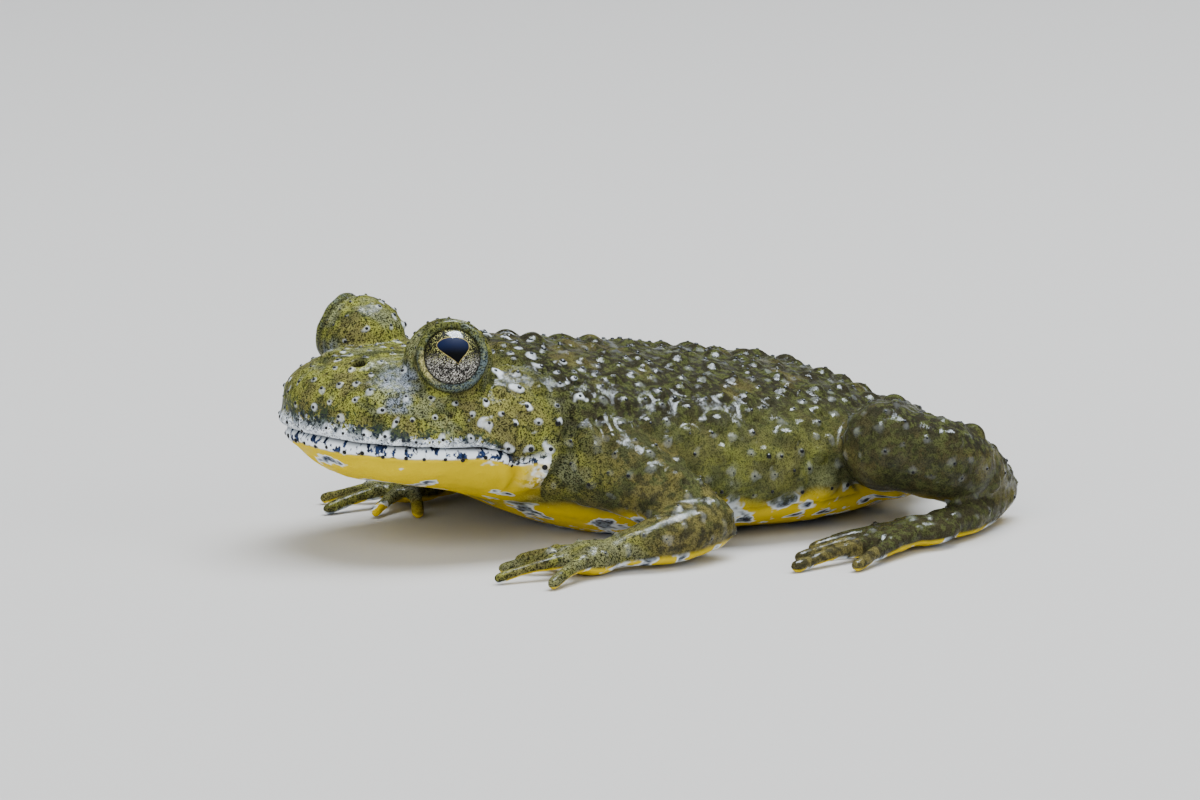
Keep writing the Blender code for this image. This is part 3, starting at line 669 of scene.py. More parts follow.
def lid_rise(points, side, uneven):
    """How far an eyelid's ring stands out, most at its top, and the crease round it lies in."""
    along, off_axis, _, upward = from_eye(side, points)
    rise = LID_RING_RISE * (0.85 + 0.4 * upward) * (1 + uneven)
    rise *= hump(off_axis - LID_RING_RADIUS, LID_RING_WIDTH)
    rise -= CREASE_DEPTH * hump(off_axis - CREASE_RADIUS, CREASE_WIDTH)
    return rise * (along > EYE_FRONT) * (off_axis < LID_REACH)


def opened(points, side):
    """Points, sunk behind the eyeball's front where they lie in the eyelid's opening."""
    along, off_axis, _, _ = from_eye(side, points)
    inside = (1 - step(*LID_OPENING, off_axis)) * (along > EYE_FRONT)
    sunk = np.minimum(inside * (eye_front(off_axis) - LID_SUNK - along), 0.0)
    return points + sunk[:, None] * np.array(eye_axes(side)[1])


def shape_face(points, normals):
    """Moves the skin to make the lips, the mouth's line, the eyelids, nostrils and folds."""
    uneven = wander(points, LID_WAVES)
    points = points + normals * (lips_rise(points) + folds_rise(points, normals))[:, None]
    for side in SIDES:
        points = points + normals * nostril_rise(points, side)[:, None]
        points = points + normals * lid_rise(points, side, uneven)[:, None]
        points = opened(points, side)
    return points


def on_limb(side, rows):
    """A function giving a limb's point at a share of its length and degrees over its top."""
    path = path_of(side, rows)

    def spot_at(share, angle):
        middle, _, across, up = frame_on(path, share * path[-1][0])
        turn = math.radians(angle)
        return middle - across * SIDES[side] * math.cos(turn) + up * math.sin(turn)

    return spot_at


def scatter_warts(rng, spot_at, kinds, spans, clear):
    """Warts (spot, radius, rise) strewn over a surface, kind by kind."""
    warts = []
    for kind, count in kinds:
        radius, rise = WART_SIZES[kind]
        left = count
        for _ in range(80 * count):
            spot = spot_at(*[rng.uniform(low, high) for low, high in spans])
            apart = all((spot - other).length > WART_SPACING for other, _, _ in warts)
            if left and apart and clear(spot, radius):
                warts.append((spot, radius, rise))
                left -= 1
    return warts


def along_limb(side, rows, count):
    """Evenly spaced (middle, half width) along a limb."""
    path = path_of(side, rows)
    for k in range(count + 1):
        middle, _, sideways, _ = frame_on(path, path[-1][0] * k / count)
        yield middle, sideways.length


def clear_of_cuts(spot, radius):
    """Whether a wart on the trunk stays off the neck, the mouth, the eyes and the limbs."""
    at, across, level = spot
    side = "right" if across > 0 else "left"
    neck = np.interp(-level, [-z for _, z in NECK], [x for x, _ in NECK])
    if abs(at - neck) < radius + 0.5:
        return False
    if at < neck and level < np.interp(at, *zip(*MOUTH_LINE)) + 1.3 + radius:
        return False
    if (spot - place(side, EYE_PLACE)).length < EYE_BULGE_RADIUS + radius + 0.4:
        return False
    for rows in (UPPER_ARM, THIGH, SHANK):
        for middle, reach in along_limb(side, rows, 8):
            if (spot - middle).length < reach + radius + 0.5:
                return False
    return True


def over_trunk(at, angle):
    """The trunk's point at a place along it and degrees from its right side over the back."""
    return on_trunk(at, math.radians(angle))


def shared_warts():
    """The solids' own warts, as (spot, radius, rise)."""
    rng = np.random.default_rng(WART_SEED)
    warts = []
    for kinds, spans in ((BACK_WARTS, BACK_WART_SPANS), (HEAD_WARTS, HEAD_WART_SPANS)):
        warts += scatter_warts(rng, over_trunk, kinds, spans, clear_of_cuts)
    for side in SIDES:
        rows = limb_rows(side)
        for name, (kinds, spans) in LIMB_WARTS.items():
            rng = np.random.default_rng([WART_SEED, len(name), int(SIDES[side] > 0)])
            limb = on_limb(side, rows[name])
            warts += scatter_warts(rng, limb, kinds, spans, lambda spot, radius: True)
    return [(np.array(spot), radius, rise) for spot, radius, rise in warts]


def region_of(points):
    """For each point how far it is part of the head and of the limbs."""
    x, y, z = points.T
    limb = np.zeros(len(points))
    for side, sign in SIDES.items():
        rows = limb_rows(side)
        own = y * sign > 0
        for name in LIMB_LOFTS:
            for middle, reach in along_limb(side, rows[name], 12):
                part = 1 - step(*(reach + by for by in LIMB_FADE), away(points, middle))
                limb = np.maximum(limb, own * part)
        own &= (z < FOOT_TOP) & (np.abs(y) > FEET_OUT)
        for name, reach in (("palm", HAND_REACH), ("sole", FOOT_REACH)):
            along, out, _ = rows[name][0]
            limb = np.maximum(limb, own * (away(points[:, :2], (along, sign * out)) < reach))
    return 1 - step(*HEAD_FADE, x), limb


def slices(points):
    """A function giving the numbers of the points that are near a spot along the body."""
    order = np.argsort(points[:, 0])
    along = points[order, 0]

    def near(spot, reach):
        first, last = np.searchsorted(along, (spot[0] - reach, spot[0] + reach))
        return order[first:last]

    return near


def domes_on(points, warts):
    """For each point how far the highest wart on it rises."""
    near = slices(points)
    rise = np.zeros(len(points))
    for spot, radius, height in warts:
        reach = radius * WART_FOOT
        rows = near(spot, reach)
        share = np.clip(1 - (away(points[rows], spot) / reach) ** 2, 0, 1)
        rise[rows] = np.maximum(rise[rows], height * share)
    return rise


def wart_regions(points, normals, head, limb):
    """Where each kind of finer wart may grow."""
    x, _, z = points.T
    above, mouth = mouth_offset(points)
    open_skin = (normals[:, 2] > -0.35) & (z > WARTS_ABOVE)
    upper_lid = np.zeros(len(points), bool)
    nearest, furthest = LID_WARTS_OFF_AXIS
    for side in SIDES:
        along, off_axis, _, _ = from_eye(side, points)
        front = along > -0.5
        upper = front & (z > EYE_PLACE[2] + LID_WARTS_ABOVE_EYE)
        upper_lid |= upper & (off_axis > nearest) & (off_axis < furthest)
        open_skin &= ~(front & (off_axis < BARE_ROUND_EYE))
        open_skin &= away(points, nostril(side)) > BARE_ROUND_NOSTRIL
    lips = (mouth > 0.3) & (above > -1.5) & (above < 0.75)
    throat = (x < 12.5) & (above < -0.9)
    on_head = open_skin & (head > 0.35) & ~lips & ~throat & (limb < 0.5)
    on_back = open_skin & (head <= 0.5) & (limb < 0.5)
    return {
        "lid": upper_lid,
        "lower_lip": (mouth > 0.5) & (np.abs(above + 0.48) < 0.09),
        "upper_lip": (mouth > 0.5) & (np.abs(above - 0.48) < 0.2),
        "cheek": on_head & (x > 8.3 + 0.4 * (z - 8.0)),
        "snout": on_head,
        "back": on_back,
        "back_between": on_back,
        "limb": open_skin & (limb >= 0.5),
    }


def fine_warts(points, normals, head, limb, large):
    """Finer warts: (point's number, radius, rise, tip, reach and strength of its pale ring)."""
    rng = np.random.default_rng(FINE_WART_SEED)
    taken = np.array([spot for spot, _, _ in large])
    looser = 1 + wander(points, SPACING_WAVES)
    warts = []
    for name, allowed in wart_regions(points, normals, head, limb).items():
        spacing, low, high, share, small_tip, large_tip, reach, strength = FINE_WARTS[name]
        for i in rng.permutation(np.flatnonzero(allowed))[:WART_TRIES]:
            if away(taken, points[i]).min() <= spacing * looser[i]:
                continue
            taken = np.vstack([taken, points[i]])
            size = rng.random() ** 1.5
            radius = low + (high - low) * size
            tip = small_tip + (large_tip - small_tip) * rng.random()
            pale = strength * rng.uniform(0.45, 1.0)
            warts.append((i, radius, radius * share, tip, reach * (0.8 + 0.4 * size), pale))
    return warts


def wander(points, waves):
    """Smooth random values on points, from waves of (size in millimetres, height, seed)."""
    total = np.zeros(len(points))
    for size, height, seed in waves:
        shift = Vector((seed * 13.7, seed * 7.1, seed * 3.3))
        total += height * np.array([noise.noise(Vector(p) / size + shift) for p in points])
    return total


def set_values(data, name, values):
    """Stores a value, or a vector, on each point of a mesh."""
    kind = "FLOAT_VECTOR" if values.ndim == 2 else "FLOAT"
    attribute = data.attributes.new(name, kind, "POINT")
    key = "vector" if values.ndim == 2 else "value"
    attribute.data.foreach_set(key, values.astype(np.float32).ravel())


def joins_of(points):
    """How much each point is part of a join, at the roots of limbs or round an eye's bulge."""
    joins = np.zeros(len(points))
    for side in SIDES:
        rows = limb_rows(side)
        for name, reach in JOIN_REACHES.items():
            distance = away(points, place(side, rows[name][0][:3]))
            joins = np.maximum(joins, 1 - step(reach, reach + JOIN_FADE, distance))
        behind = from_eye(side, points)[0] < 0.3
        distance = np.abs(away(points, place(side, EYE_PLACE)) - EYE_BULGE_RADIUS - 0.1)
        at_eye = (1 - step(*EYE_JOIN_WIDTH, distance)) * behind
        joins = np.maximum(joins, at_eye * EYE_JOIN_SHARE)
    return joins


def make_skin():
    """The skin, in millimetres from the snout, and its warts' tips as (spot, normal, size)."""
    obj = one_surface(body_form())
    data = obj.data
    edges = read(data.edges, "vertices", np.int32, 2)
    points = read(data.vertices, "co").astype(float)
    points = smoothed(points, edges, 0.5, SMOOTHING)
    points = smoothed(points, edges, 0.5 * joins_of(points), BLENDING)
    points[:, 2] = np.maximum(points[:, 2], 0.0)
    rest = points.copy()
    head, limb = region_of(points)
    points = shape_face(points, move(data, points))
    normals = move(data, points)
    large = shared_warts()
    fine = fine_warts(points, normals, head, limb, large)
    domes = [(points[i], radius, height) for i, radius, height, _, _, _ in fine]
    rise = domes_on(points, large + domes)
    rise += wander(points, UNDULATION)
    rise *= (points[:, 2] > 0.02) * off_the_lids(points)
    points = smoothed(points + normals * rise[:, None], edges, 0.25, 1)
    points[:, 2] = np.maximum(points[:, 2], 0.0)
    move(data, points)
    data.shade_smooth()
    regions = {"place": rest, "head": head, "limb": limb, "halo": pale_rings(points, fine)}
    for name, values in (regions | regions_of(rest, normals, limb)).items():
        set_values(data, name, values)
    return obj, [(points[i], normals[i], tip) for i, _, _, tip, _, _ in fine if tip > SMALLEST_TIP]


def off_the_lids(points):
    """0 on the eyelids' rings and in their openings, 1 elsewhere."""
    share = np.ones(len(points))
    for side in SIDES:
        along, off_axis, _, _ = from_eye(side, points)
        share *= np.where(along > EYE_FRONT, step(1.7, 2.2, off_axis), 1.0)
    return share


def pale_rings(points, warts):
    """How pale each point is for the uneven ring round a wart's black tip."""
    rng = np.random.default_rng(HALO_SEED)
    near = slices(points)
    halo = np.zeros(len(points))
    ragged = 1 + wander(points, HALO_WAVES)
    for i, _, _, _, reach, strength in warts:
        if reach:
            spot = points[i] + rng.normal(size=3) * HALO_SHIFT * reach
            stretch = rng.uniform(*HALO_STRETCH, 3)
            rows = near(spot, 2 * reach)
            distance = np.linalg.norm((points[rows] - spot) * stretch, axis=1) * ragged[rows]
            pale = (1 - step(0.6 * reach, 1.2 * reach, distance)) * strength
            halo[rows] = np.maximum(halo[rows], pale)
    return halo


def back_region(points, limb, uneven):
    """Where the skin is the dark back, which reaches lower on the rump and over the legs."""
    x, _, z = points.T
    rump = step(*RUMP_ALONG, x)
    low, high = ((1 - rump) * a + rump * b for a, b in zip(BACK_ABOVE, RUMP_ABOVE))
    higher = step(low, high, z + 2 * uneven)
    back = step(*BACK_ALONG, x + 0.6 * (z - 7) + 3 * uneven)
    return back * np.maximum(higher, 0.9 * limb * (x > 26))


def mouth_regions(points, uneven):
    """Where the skin is the upper lip, the lower lip, the corner behind it and the throat."""
    x, _, z = points.T
    above, mouth = mouth_offset(points)
    height = 1.3 + 0.9 * (1 - step(1.5, 4.5, x))
    height *= 1 - 0.6 * step(7.5, 9.5, x)
    upper = mouth * (above > 0) * np.clip(1 - above / height, 0, 1)
    edge = above + 0.25 * uneven
    lower = mouth * (above <= 0) * step(*LOWER_LIP_LINE, edge)
    corner = window(*MOUTH_CORNER_ALONG, x) * window(*MOUTH_CORNER_ABOVE, z + uneven)
    return upper, lower, corner, (1 - step(*THROAT_ALONG, x)) * (1 - step(*THROAT_LINE, edge))


def underside(points, normals, limb):
    """Where the skin faces the floor, below the uneven edge of the flank."""
    flank = FLANK_LEVEL + wander(points, FLANK_WAVES)
    limit = np.where(limb > 0.5, -0.75, -0.35)
    facing = 1 - step(limit, limit + 0.3, normals[:, 2])
    return facing * (1 - step(flank - 0.6, flank + 0.6, points[:, 2]))


def slate_sheen_region(points, uneven):
    """Where the skin in front of the eyes is grey-blue, partly its own colour and partly a painted
    bluish sheen.
    """
    slate_sheen = np.zeros(len(points))
    for side in SIDES:
        for spot, radius in SLATE_SHEEN_PATCHES:
            distance = away(points, place(side, spot)) + 1.6 * uneven
            slate_sheen = np.maximum(slate_sheen, 1 - step(0.4 * radius, radius, distance))
    return slate_sheen


def lid_regions(points):
    """Distance from the nearer gaze's axis, and where the front and the rear of the lids are."""
    lid = np.full(len(points), 9.0)
    front, rear = np.zeros((2, len(points)))
    for side in SIDES:
        along, off_axis, forward, upward = from_eye(side, points)
        lid = np.where(along > 0.1, np.minimum(lid, off_axis), lid)
        at_lid = (along > 0.1) & (off_axis < 2.2)
        front += at_lid * step(0.72, 0.98, 0.9 * forward - 0.43 * upward)
        rear += at_lid * step(-0.1, 0.8, -0.6 * forward - 0.8 * upward)
    return lid, front, rear


def shaded_hollows(points, lid):
    """Where the skin lies in the mouth's line, a nostril or the opening of a lid, which the skin's
    colour darkens as painted shade.
    """
    above, mouth = mouth_offset(points)
    hollow_shade = np.maximum(mouth * hump(above, 0.09), 1 - step(1.4, 1.52, lid))
    for side in SIDES:
        hollow_shade = np.maximum(hollow_shade, 1 - step(0.28, 0.46, away(points, nostril(side))))
    return hollow_shade


def regions_of(points, normals, limb):
    """Where the skin is back, lip, belly, grey-blue with painted sheen, lid, or painted shade in the
    mouth's line, nostrils and lids' openings, by name, for its material.
    """
    uneven = wander(points, REGION_WAVES)
    body = limb < 0.5
    upper_lip, lower_lip, corner, throat = mouth_regions(points, uneven)
    lid, front_of_lid, rear_of_lid = lid_regions(points)
    return {
        "back": back_region(points, limb, uneven),
        "upper_lip": upper_lip,
        "lower_lip": np.maximum(lower_lip, corner * body),
        "belly": np.clip(np.maximum(throat * body, underside(points, normals, limb)), 0, 1),
        "slate_sheen": slate_sheen_region(points, uneven),
        "lid": lid + 0.25 * (uneven - uneven.mean()) * (lid > 1.6),
        "front_of_lid": front_of_lid,
        "rear_of_lid": rear_of_lid,
        "hollow_shade": shaded_hollows(points, lid),
    }


def make_tips(tips):
    """The small black horny tips on the warts, in one piece."""
    mesh = bmesh.new()
    for spot, normal, size in tips:
        turn = Vector(normal).to_track_quat("Z", "Y").to_matrix().to_4x4()
        add_ball(mesh, spot, (size, size, size * TIP_HEIGHT), turn, TIP_POINTS, TIP_STEPS)
    data = data_of(mesh, "wart_tips")
    data.shade_smooth()
    return in_scene("wart_tips", data)


# Eyes: the heart-shaped pupil, the gold line round it and the iris, in millimetres
PUPIL_WIDTH = 1.72
PUPIL_HEIGHT = 1.5
PUPIL_LIFT = 0.2
PUPIL_LEAN = 0.24
GOLD_LINE = 0.03
LINE_EDGE = 0.004
IRIS_RADIUS = 1.56
IRIS_RINGS = 36
PUPIL_SHARES = (0.3, 0.6, 0.85, 1.0)
EYE_POINTS = 160
EYE_SIDE = ((1.64, 0.6), (EYE_RADIUS, 0.3), (EYE_RADIUS, 0.0))
FRONT_EDGE = 1.61
REAR_TILTS = (20, 40, 60, 75)
PUPIL, GOLD, IRIS, BALL = 0.0, 1.0, 2.0, 3.0
VEIN_WIDTH = 0.05
VEINS = (
    ((0.16, -0.5), (0.13, -0.85)),
    ((0.14, -0.7), (-0.15, -0.78), (-0.45, -0.98), (-0.7, -0.95)),
    ((0.14, -0.72), (0.4, -0.85), (0.62, -1.05)),
    ((-0.2, -0.8), (-0.35, -0.7), (-0.62, -0.72)),
    ((0.42, -0.86), (0.7, -0.78)),
)


def pupil_edge(turn, rearward):
    """A point on the heart-shaped edge of the pupil, across and up from the eye's middle."""
    x = 16 * math.sin(turn) ** 3
    y = 13 * math.cos(turn) - 2.7 * math.cos(2 * turn) - 0.4 * math.cos(3 * turn)
    y -= 0.15 * math.cos(4 * turn)
    lean = PUPIL_LEAN * max(2.4 - y, 0.0) / 17.8 * rearward
    return Vector((x * PUPIL_WIDTH / 32 + lean, (y + 2.8) * PUPIL_HEIGHT / 25.4 + PUPIL_LIFT))


def widened(line, by):
    """A flat line round the pupil, moved outward."""
    centre = Vector((0.0, PUPIL_LIFT))
    return [p + (p - centre).normalized() * by for p in line]


def eye_rings(rearward):
    """An eyeball's rings from front to rear, as (flat points, heights along the gaze, zone)."""
    centre = Vector((0.0, PUPIL_LIFT))
    outline = [pupil_edge(turn, rearward) for turn in turns_of(EYE_POINTS, 0.5)]
    gold = widened(outline, GOLD_LINE)
    rim = [p.normalized() * IRIS_RADIUS for p in gold]
    lines = [([centre.lerp(p, share) for p in outline], PUPIL) for share in PUPIL_SHARES]
    lines += [(widened(outline, LINE_EDGE), GOLD), (gold, GOLD), (widened(gold, LINE_EDGE), IRIS)]
    for k in range(1, IRIS_RINGS + 1):
        lines.append(([a.lerp(b, k / IRIS_RINGS) for a, b in zip(gold, rim)], IRIS))
    rings = [(line, [eye_front(p.length) for p in line], zone) for line, zone in lines]
    sides = [(FRONT_EDGE, eye_front(FRONT_EDGE)), *EYE_SIDE]
    for tilt in map(math.radians, REAR_TILTS):
        sides.append((EYE_RADIUS * math.cos(tilt), -EYE_RADIUS * math.sin(tilt)))
    for reach, height in sides:
        rings.append(([p.normalized() * reach for p in rim], [height] * EYE_POINTS, BALL))
    rings.append(([centre], [eye_front(PUPIL_LIFT)], PUPIL))
    rings.append(([Vector((0.0, 0.0))], [-EYE_RADIUS], BALL))
    return rings


def make_eye(side):
    """An eyeball with its places, zones and veins as values on its points."""
    middle, look, right, up = eye_axes(side)
    spots, zones, loops = [], [], []
    for line, heights, zone in eye_rings(-SIDES[side]):
        ring = [(p.x, p.y, height) for p, height in zip(line, heights)]
        loops.append([middle + right * x + up * y + look * height for x, y, height in ring])
        spots += ring
        zones += [zone] * len(ring)
    *loops, front, rear = loops
    mesh = bmesh.new()
    add_loft(mesh, loops, *front, *rear)
    data = data_of(mesh, "eyeball_" + side)
    spots = np.array(spots)
    flat = spots[:, :2] * (-SIDES[side], 1.0)
    veins = [hump(to_line(flat, line)[0], VEIN_WIDTH) for line in VEINS]
    set_values(data, "iris_place", spots)
    set_values(data, "vein", np.max(veins, axis=0))
    set_values(data, "zone", np.array(zones))
    data.shade_smooth()
    return in_scene("eyeball_" + side, data)


class Nodes:
    """A material's nodes, made and joined by short calls that return output sockets."""

    def __init__(self, name):
        self.material = bpy.data.materials.new(name)
        self.material.use_nodes = True
        self.tree = self.material.node_tree
        self.shader = self.tree.nodes["Principled BSDF"]

    def put(self, socket, value):
        """Joins an output to an input, or sets the input to a constant."""
        if isinstance(value, bpy.types.NodeSocket):
            self.tree.links.new(value, socket)
        elif isinstance(value, tuple) and socket.type == "RGBA":
            socket.default_value = (*value, 1.0)
        else:
            socket.default_value = value

    def node(self, kind, settings, *values, **inputs):
        """A new node whose inputs are given in their order or by name."""
        made = self.tree.nodes.new("ShaderNode" + kind)
        for name, value in settings.items():
            setattr(made, name, value)
        for socket, value in zip(made.inputs, values):
            self.put(socket, value)
        self.fill(made, inputs)
        return made

    def fill(self, node, inputs):
        """Joins or sets a node's inputs by their names, with _ for a space."""
        for name, value in inputs.items():
            self.put(node.inputs[name.replace("_", " ")], value)

    def value(self, name):
        return self.node("Attribute", {"attribute_name": name}).outputs["Fac"]

    def place(self, name):
        return self.node("Attribute", {"attribute_name": name}).outputs["Vector"]

    def axes(self, place):
        return self.node("SeparateXYZ", {}, place).outputs

    def moved(self, place, shift):
        return self.node("VectorMath", {"operation": "ADD"}, place, shift).outputs[0]

    def math(self, operation, *values):
        return self.node("Math", {"operation": operation}, *values).outputs[0]

    def times(self, a, b):
        return self.math("MULTIPLY", a, b)

    def apart(self, value, other):
        """How far a value is from another."""
        return self.math("ABSOLUTE", self.math("SUBTRACT", value, other))

    def step(self, value, low, high, out_low=0.0, out_high=1.0):
        """A smooth change from one result, at low, to another, at high."""
        smooth = {"interpolation_type": "SMOOTHSTEP"}
        return self.node("MapRange", smooth, value, low, high, out_low, out_high).outputs[0]

    def noise(self, place, scale, detail=3.0, roughness=0.55, shift=0.0):
        if shift:
            place = self.moved(place, (shift, shift * 0.7, shift * 1.3))
        made = self.node("TexNoise", {}, Vector=place, Scale=scale, Detail=detail, Roughness=roughness)
        return made.outputs["Fac"]

    def cells(self, place, scale, feature="F1"):
        made = self.node("TexVoronoi", {"feature": feature}, Vector=place, Scale=scale)
        return made.outputs["Distance"]

    def mix(self, share, a, b):
        """The colour a where share is 0 and b where it is 1."""
        made = self.node("Mix", {"data_type": "RGBA"}, share)
        self.put(made.inputs[6], a)
        self.put(made.inputs[7], b)
        return made.outputs[2]

    def layers(self, colour, *layers):
        """A colour under others, each laid on where a value goes from low to high."""
        for value, low, high, share, over in layers:
            colour = self.mix(self.step(value, low, high, 0.0, share), colour, over)
        return colour

    def bump(self, height, strength, **under):
        made = self.node("Bump", {}, Height=height, Strength=strength, Distance=BUMP_DEPTH, **under)
        return made.outputs["Normal"]

    def finish(self, **inputs):
        self.fill(self.shader, inputs)
        return self.material


# Colours, as linear red, green and blue
MOSS = (0.225, 0.24, 0.045)
SAGE = (0.2, 0.215, 0.12)
OLIVE = (0.062, 0.07, 0.024)
DARK_GREEN = (0.035, 0.05, 0.022)
BLACKISH = (0.004, 0.004, 0.003)
SLATE = (0.22, 0.26, 0.33)
PALE = (0.84, 0.91, 0.98)
INK = (0.008, 0.013, 0.03)
DEEP_BLUE = (0.025, 0.045, 0.12)
YELLOW = (0.74, 0.54, 0.0)
BARK = (0.027, 0.025, 0.015)
TAN = (0.13, 0.112, 0.036)
OCHRE = (0.21, 0.19, 0.075)
LID_GREEN = (0.09, 0.1, 0.03)
LID_GREY = (0.09, 0.12, 0.125)
# Cream of the lids' front edge: partly the lid's colour, partly a painted highlight of its wet margin
CREAM_AND_GLINT = (0.6, 0.54, 0.22)
HORN = (0.005, 0.005, 0.006)
IRIS_BLACK = (0.004, 0.004, 0.002)
IRIS_NET = (0.006, 0.005, 0.004)
IRIS_GOLD = (0.5, 0.5, 0.15)
IRIS_BROWN = (0.04, 0.035, 0.025)
IRIS_SILVER = (0.64, 0.62, 0.56)
PUPIL_BLACK = (0.0005, 0.0005, 0.001)
# Painted reflection of a blue sky, laid into the top of the pupil
PUPIL_SKY_REFLECTION = (0.002, 0.006, 0.03)
PUPIL_LINE = (0.3, 0.24, 0.07)
FLOOR_GREY = (0.52, 0.515, 0.5)

# Noises in the skin: cells in a millimetre, detail, roughness and shift
NOISES = {
    "broad": (0.32, 3.0, 0.55, 0.0),
    "blotch": (0.5, 3.0, 0.5, 47.0),
    "patchy": (0.8, 4.0, 0.6, 11.0),
    "ragged": (1.5, 4.0, 0.65, 61.0),
    "damp": (1.5, 4.0, 0.65, 83.0),
    "small": (2.2, 3.0, 0.6, 41.0),
    "fine": (5.0, 3.0, 0.6, 23.0),
    "film": (7.0, 3.0, 0.6, 71.0),
    "speck": (13.0, 2.0, 0.5, 5.0),
}
BUMP_DEPTH = 0.00005


def ground_colour(n, g, place):
    """Patchy moss green on head and flanks, dark on the back and brown on the limbs, speckled."""
    head, level = n.value("head"), n.axes(place)[2]
    green = n.layers(
        MOSS,
        (g.patchy, 0.42, 0.6, 1.0, OLIVE),
        (g.broad, 0.46, 0.62, 0.6, n.mix(g.fine, TAN, OCHRE)),
        (g.broad, 0.48, 0.4, 0.7, SAGE),
        (g.small, 0.54, 0.66, 0.5, TAN),
        (head, 1.0, 0.3, 0.55, OLIVE),
    )
    dark = n.layers(BARK, (g.small, 0.46, 0.6, 1.0, OLIVE), (g.broad, 0.55, 0.68, 0.5, TAN))
    leg = n.layers(
        TAN,
        (g.patchy, 0.45, 0.55, 1.0, OLIVE),
        (level, 2.8, 1.4, 1.0, TAN),
        (g.small, 0.42, 0.62, 0.85, BARK),
    )
    colour = n.mix(n.times(n.value("limb"), n.step(head, 0.2, 0.8, 1.0, 0.4)), green, leg)
    colour = n.mix(n.value("back"), colour, dark)
    # grey-blue patches in front of the eyes: partly the skin's own colour, partly a painted bluish sheen
    slate_sheen = n.times(n.value("slate_sheen"), n.step(g.small, 0.4, 0.56, 0.2, 0.75))
    colour = n.mix(slate_sheen, colour, SLATE)
    speckled = n.step(head, 0.0, 1.0, 0.5, 0.85)
    for grain, low, high in ((g.fine, 0.54, 0.64), (g.speck, 0.49, 0.58)):
        colour = n.mix(n.times(n.step(grain, low, high), speckled), colour, BLACKISH)
    return colour


def with_lips(n, g, colour):
    """Pale lips, the upper with dark green patches and the lower with blue-black spots."""
    lip = n.math("ADD", n.value("upper_lip"), n.step(g.fine, 0.3, 0.7, -0.2, 0.2))
    patch = n.times(n.step(lip, 0.1, 0.3), n.step(lip, 0.6, 0.9, 0.9, 0.0))
    patch = n.times(patch, n.step(g.ragged, 0.47, 0.52))
    smudge = n.step(g.small, 0.5, 0.56)
    grey = n.mix(smudge, SLATE, INK)
    upper = n.layers(PALE, (g.fine, 0.52, 0.6, 1.0, grey), (g.speck, 0.52, 0.62, 0.25, OLIVE))
    colour = n.layers(colour, (lip, 0.5, 0.66, 1.0, upper))
    colour = n.mix(patch, colour, n.layers(INK, (g.fine, 0.4, 0.6, 1.0, DARK_GREEN)))
    lower = n.mix(smudge, PALE, n.layers(DEEP_BLUE, (g.fine, 0.42, 0.58, 1.0, INK)))
    return n.mix(n.value("lower_lip"), colour, lower)


def with_belly(n, g, colour):
    """A yellow underside with blue-black blotches that have pale edges, fewer on the throat."""
    blotch = n.math("SUBTRACT", g.blotch, n.step(n.value("head"), 0.3, 1.0, 0.0, 0.04))
    dark = n.layers(INK, (g.small, 0.4, 0.6, 1.0, SLATE))
    under = n.layers(YELLOW, (blotch, 0.52, 0.555, 1.0, PALE), (blotch, 0.555, 0.61, 1.0, dark))
    return n.mix(n.value("belly"), colour, under)


def with_lids(n, g, colour, lid):
    """Speckled grey-green lids with painted shade in the crease round them, and a cream edge at their
    front that is partly the lid's colour and partly a painted highlight of its wet margin.
    """
    rim = n.layers(LID_GREEN, (g.small, 0.45, 0.6, 0.5, LID_GREY))
    rim = n.mix(n.value("rear_of_lid"), rim, LID_GREY)
    rim = n.layers(rim, (g.fine, 0.5, 0.6, 0.35, MOSS), (g.speck, 0.46, 0.58, 0.85, BLACKISH))
    # painted shade: a dark ring in the crease between the lid's ring and the skin round it
    crease = n.apart(lid, 1.9)
    colour = n.layers(colour, (lid, 2.0, 1.75, 1.0, rim), (crease, 0.09, 0.02, 0.6, BLACKISH))
    # cream front edge of the lid: partly its own colour, partly a painted highlight of the wet margin
    edge = n.times(n.step(n.apart(lid, 1.56), 0.2, 0.04), n.value("front_of_lid"))
    edge = n.times(edge, n.step(g.fine, 0.42, 0.58, 0.3, 0.85))
    edge = n.times(edge, n.step(g.speck, 0.44, 0.56, 1.0, 0.3))
    return n.mix(edge, colour, CREAM_AND_GLINT)


def skin_material():
    """The skin's colours, region by region, under a patchy film of water."""
    n = Nodes("toad_skin")
    place = n.place("place")
    g = SimpleNamespace(**{name: n.noise(place, *row) for name, row in NOISES.items()})
    lid, hollow_shade = n.value("lid"), n.value("hollow_shade")
    colour = with_lips(n, g, ground_colour(n, g, place))
    pale = n.layers(PALE, (g.fine, 0.45, 0.65, 0.35, SLATE))
    colour = with_belly(n, g, n.mix(n.value("halo"), colour, pale))
    colour = with_lids(n, g, colour, lid)
    wet = n.times(n.step(hollow_shade, 0.0, 0.6, 1.0, 0.0), n.step(n.value("head"), 0.3, 1.0, 0.5, 0.26))
    wet = n.times(wet, n.step(g.damp, 0.42, 0.56, 0.2, 1.0))
    return n.finish(
        # painted shade: the mouth's line, the nostrils and the lids' openings are coloured near black
        Base_Color=n.mix(hollow_shade, colour, BLACKISH),
        Roughness=n.step(g.fine, 0.35, 0.65, 0.42, 0.6),
        Normal=n.bump(g.fine, 0.5, Normal=n.bump(n.cells(place, 5.0), 0.3)),
        Specular_IOR_Level=0.0,
        Coat_Weight=n.math("MAXIMUM", wet, n.step(lid, 1.6, 2.3, 0.6, 0.0)),
        Coat_Roughness=0.09,
        Coat_IOR=1.3,
        Coat_Normal=n.bump(g.film, 0.3),
    )


def tip_material():
    """Black horn."""
    return Nodes("horny_tip").finish(Base_Color=HORN, Roughness=0.35, Specular_IOR_Level=0.3)


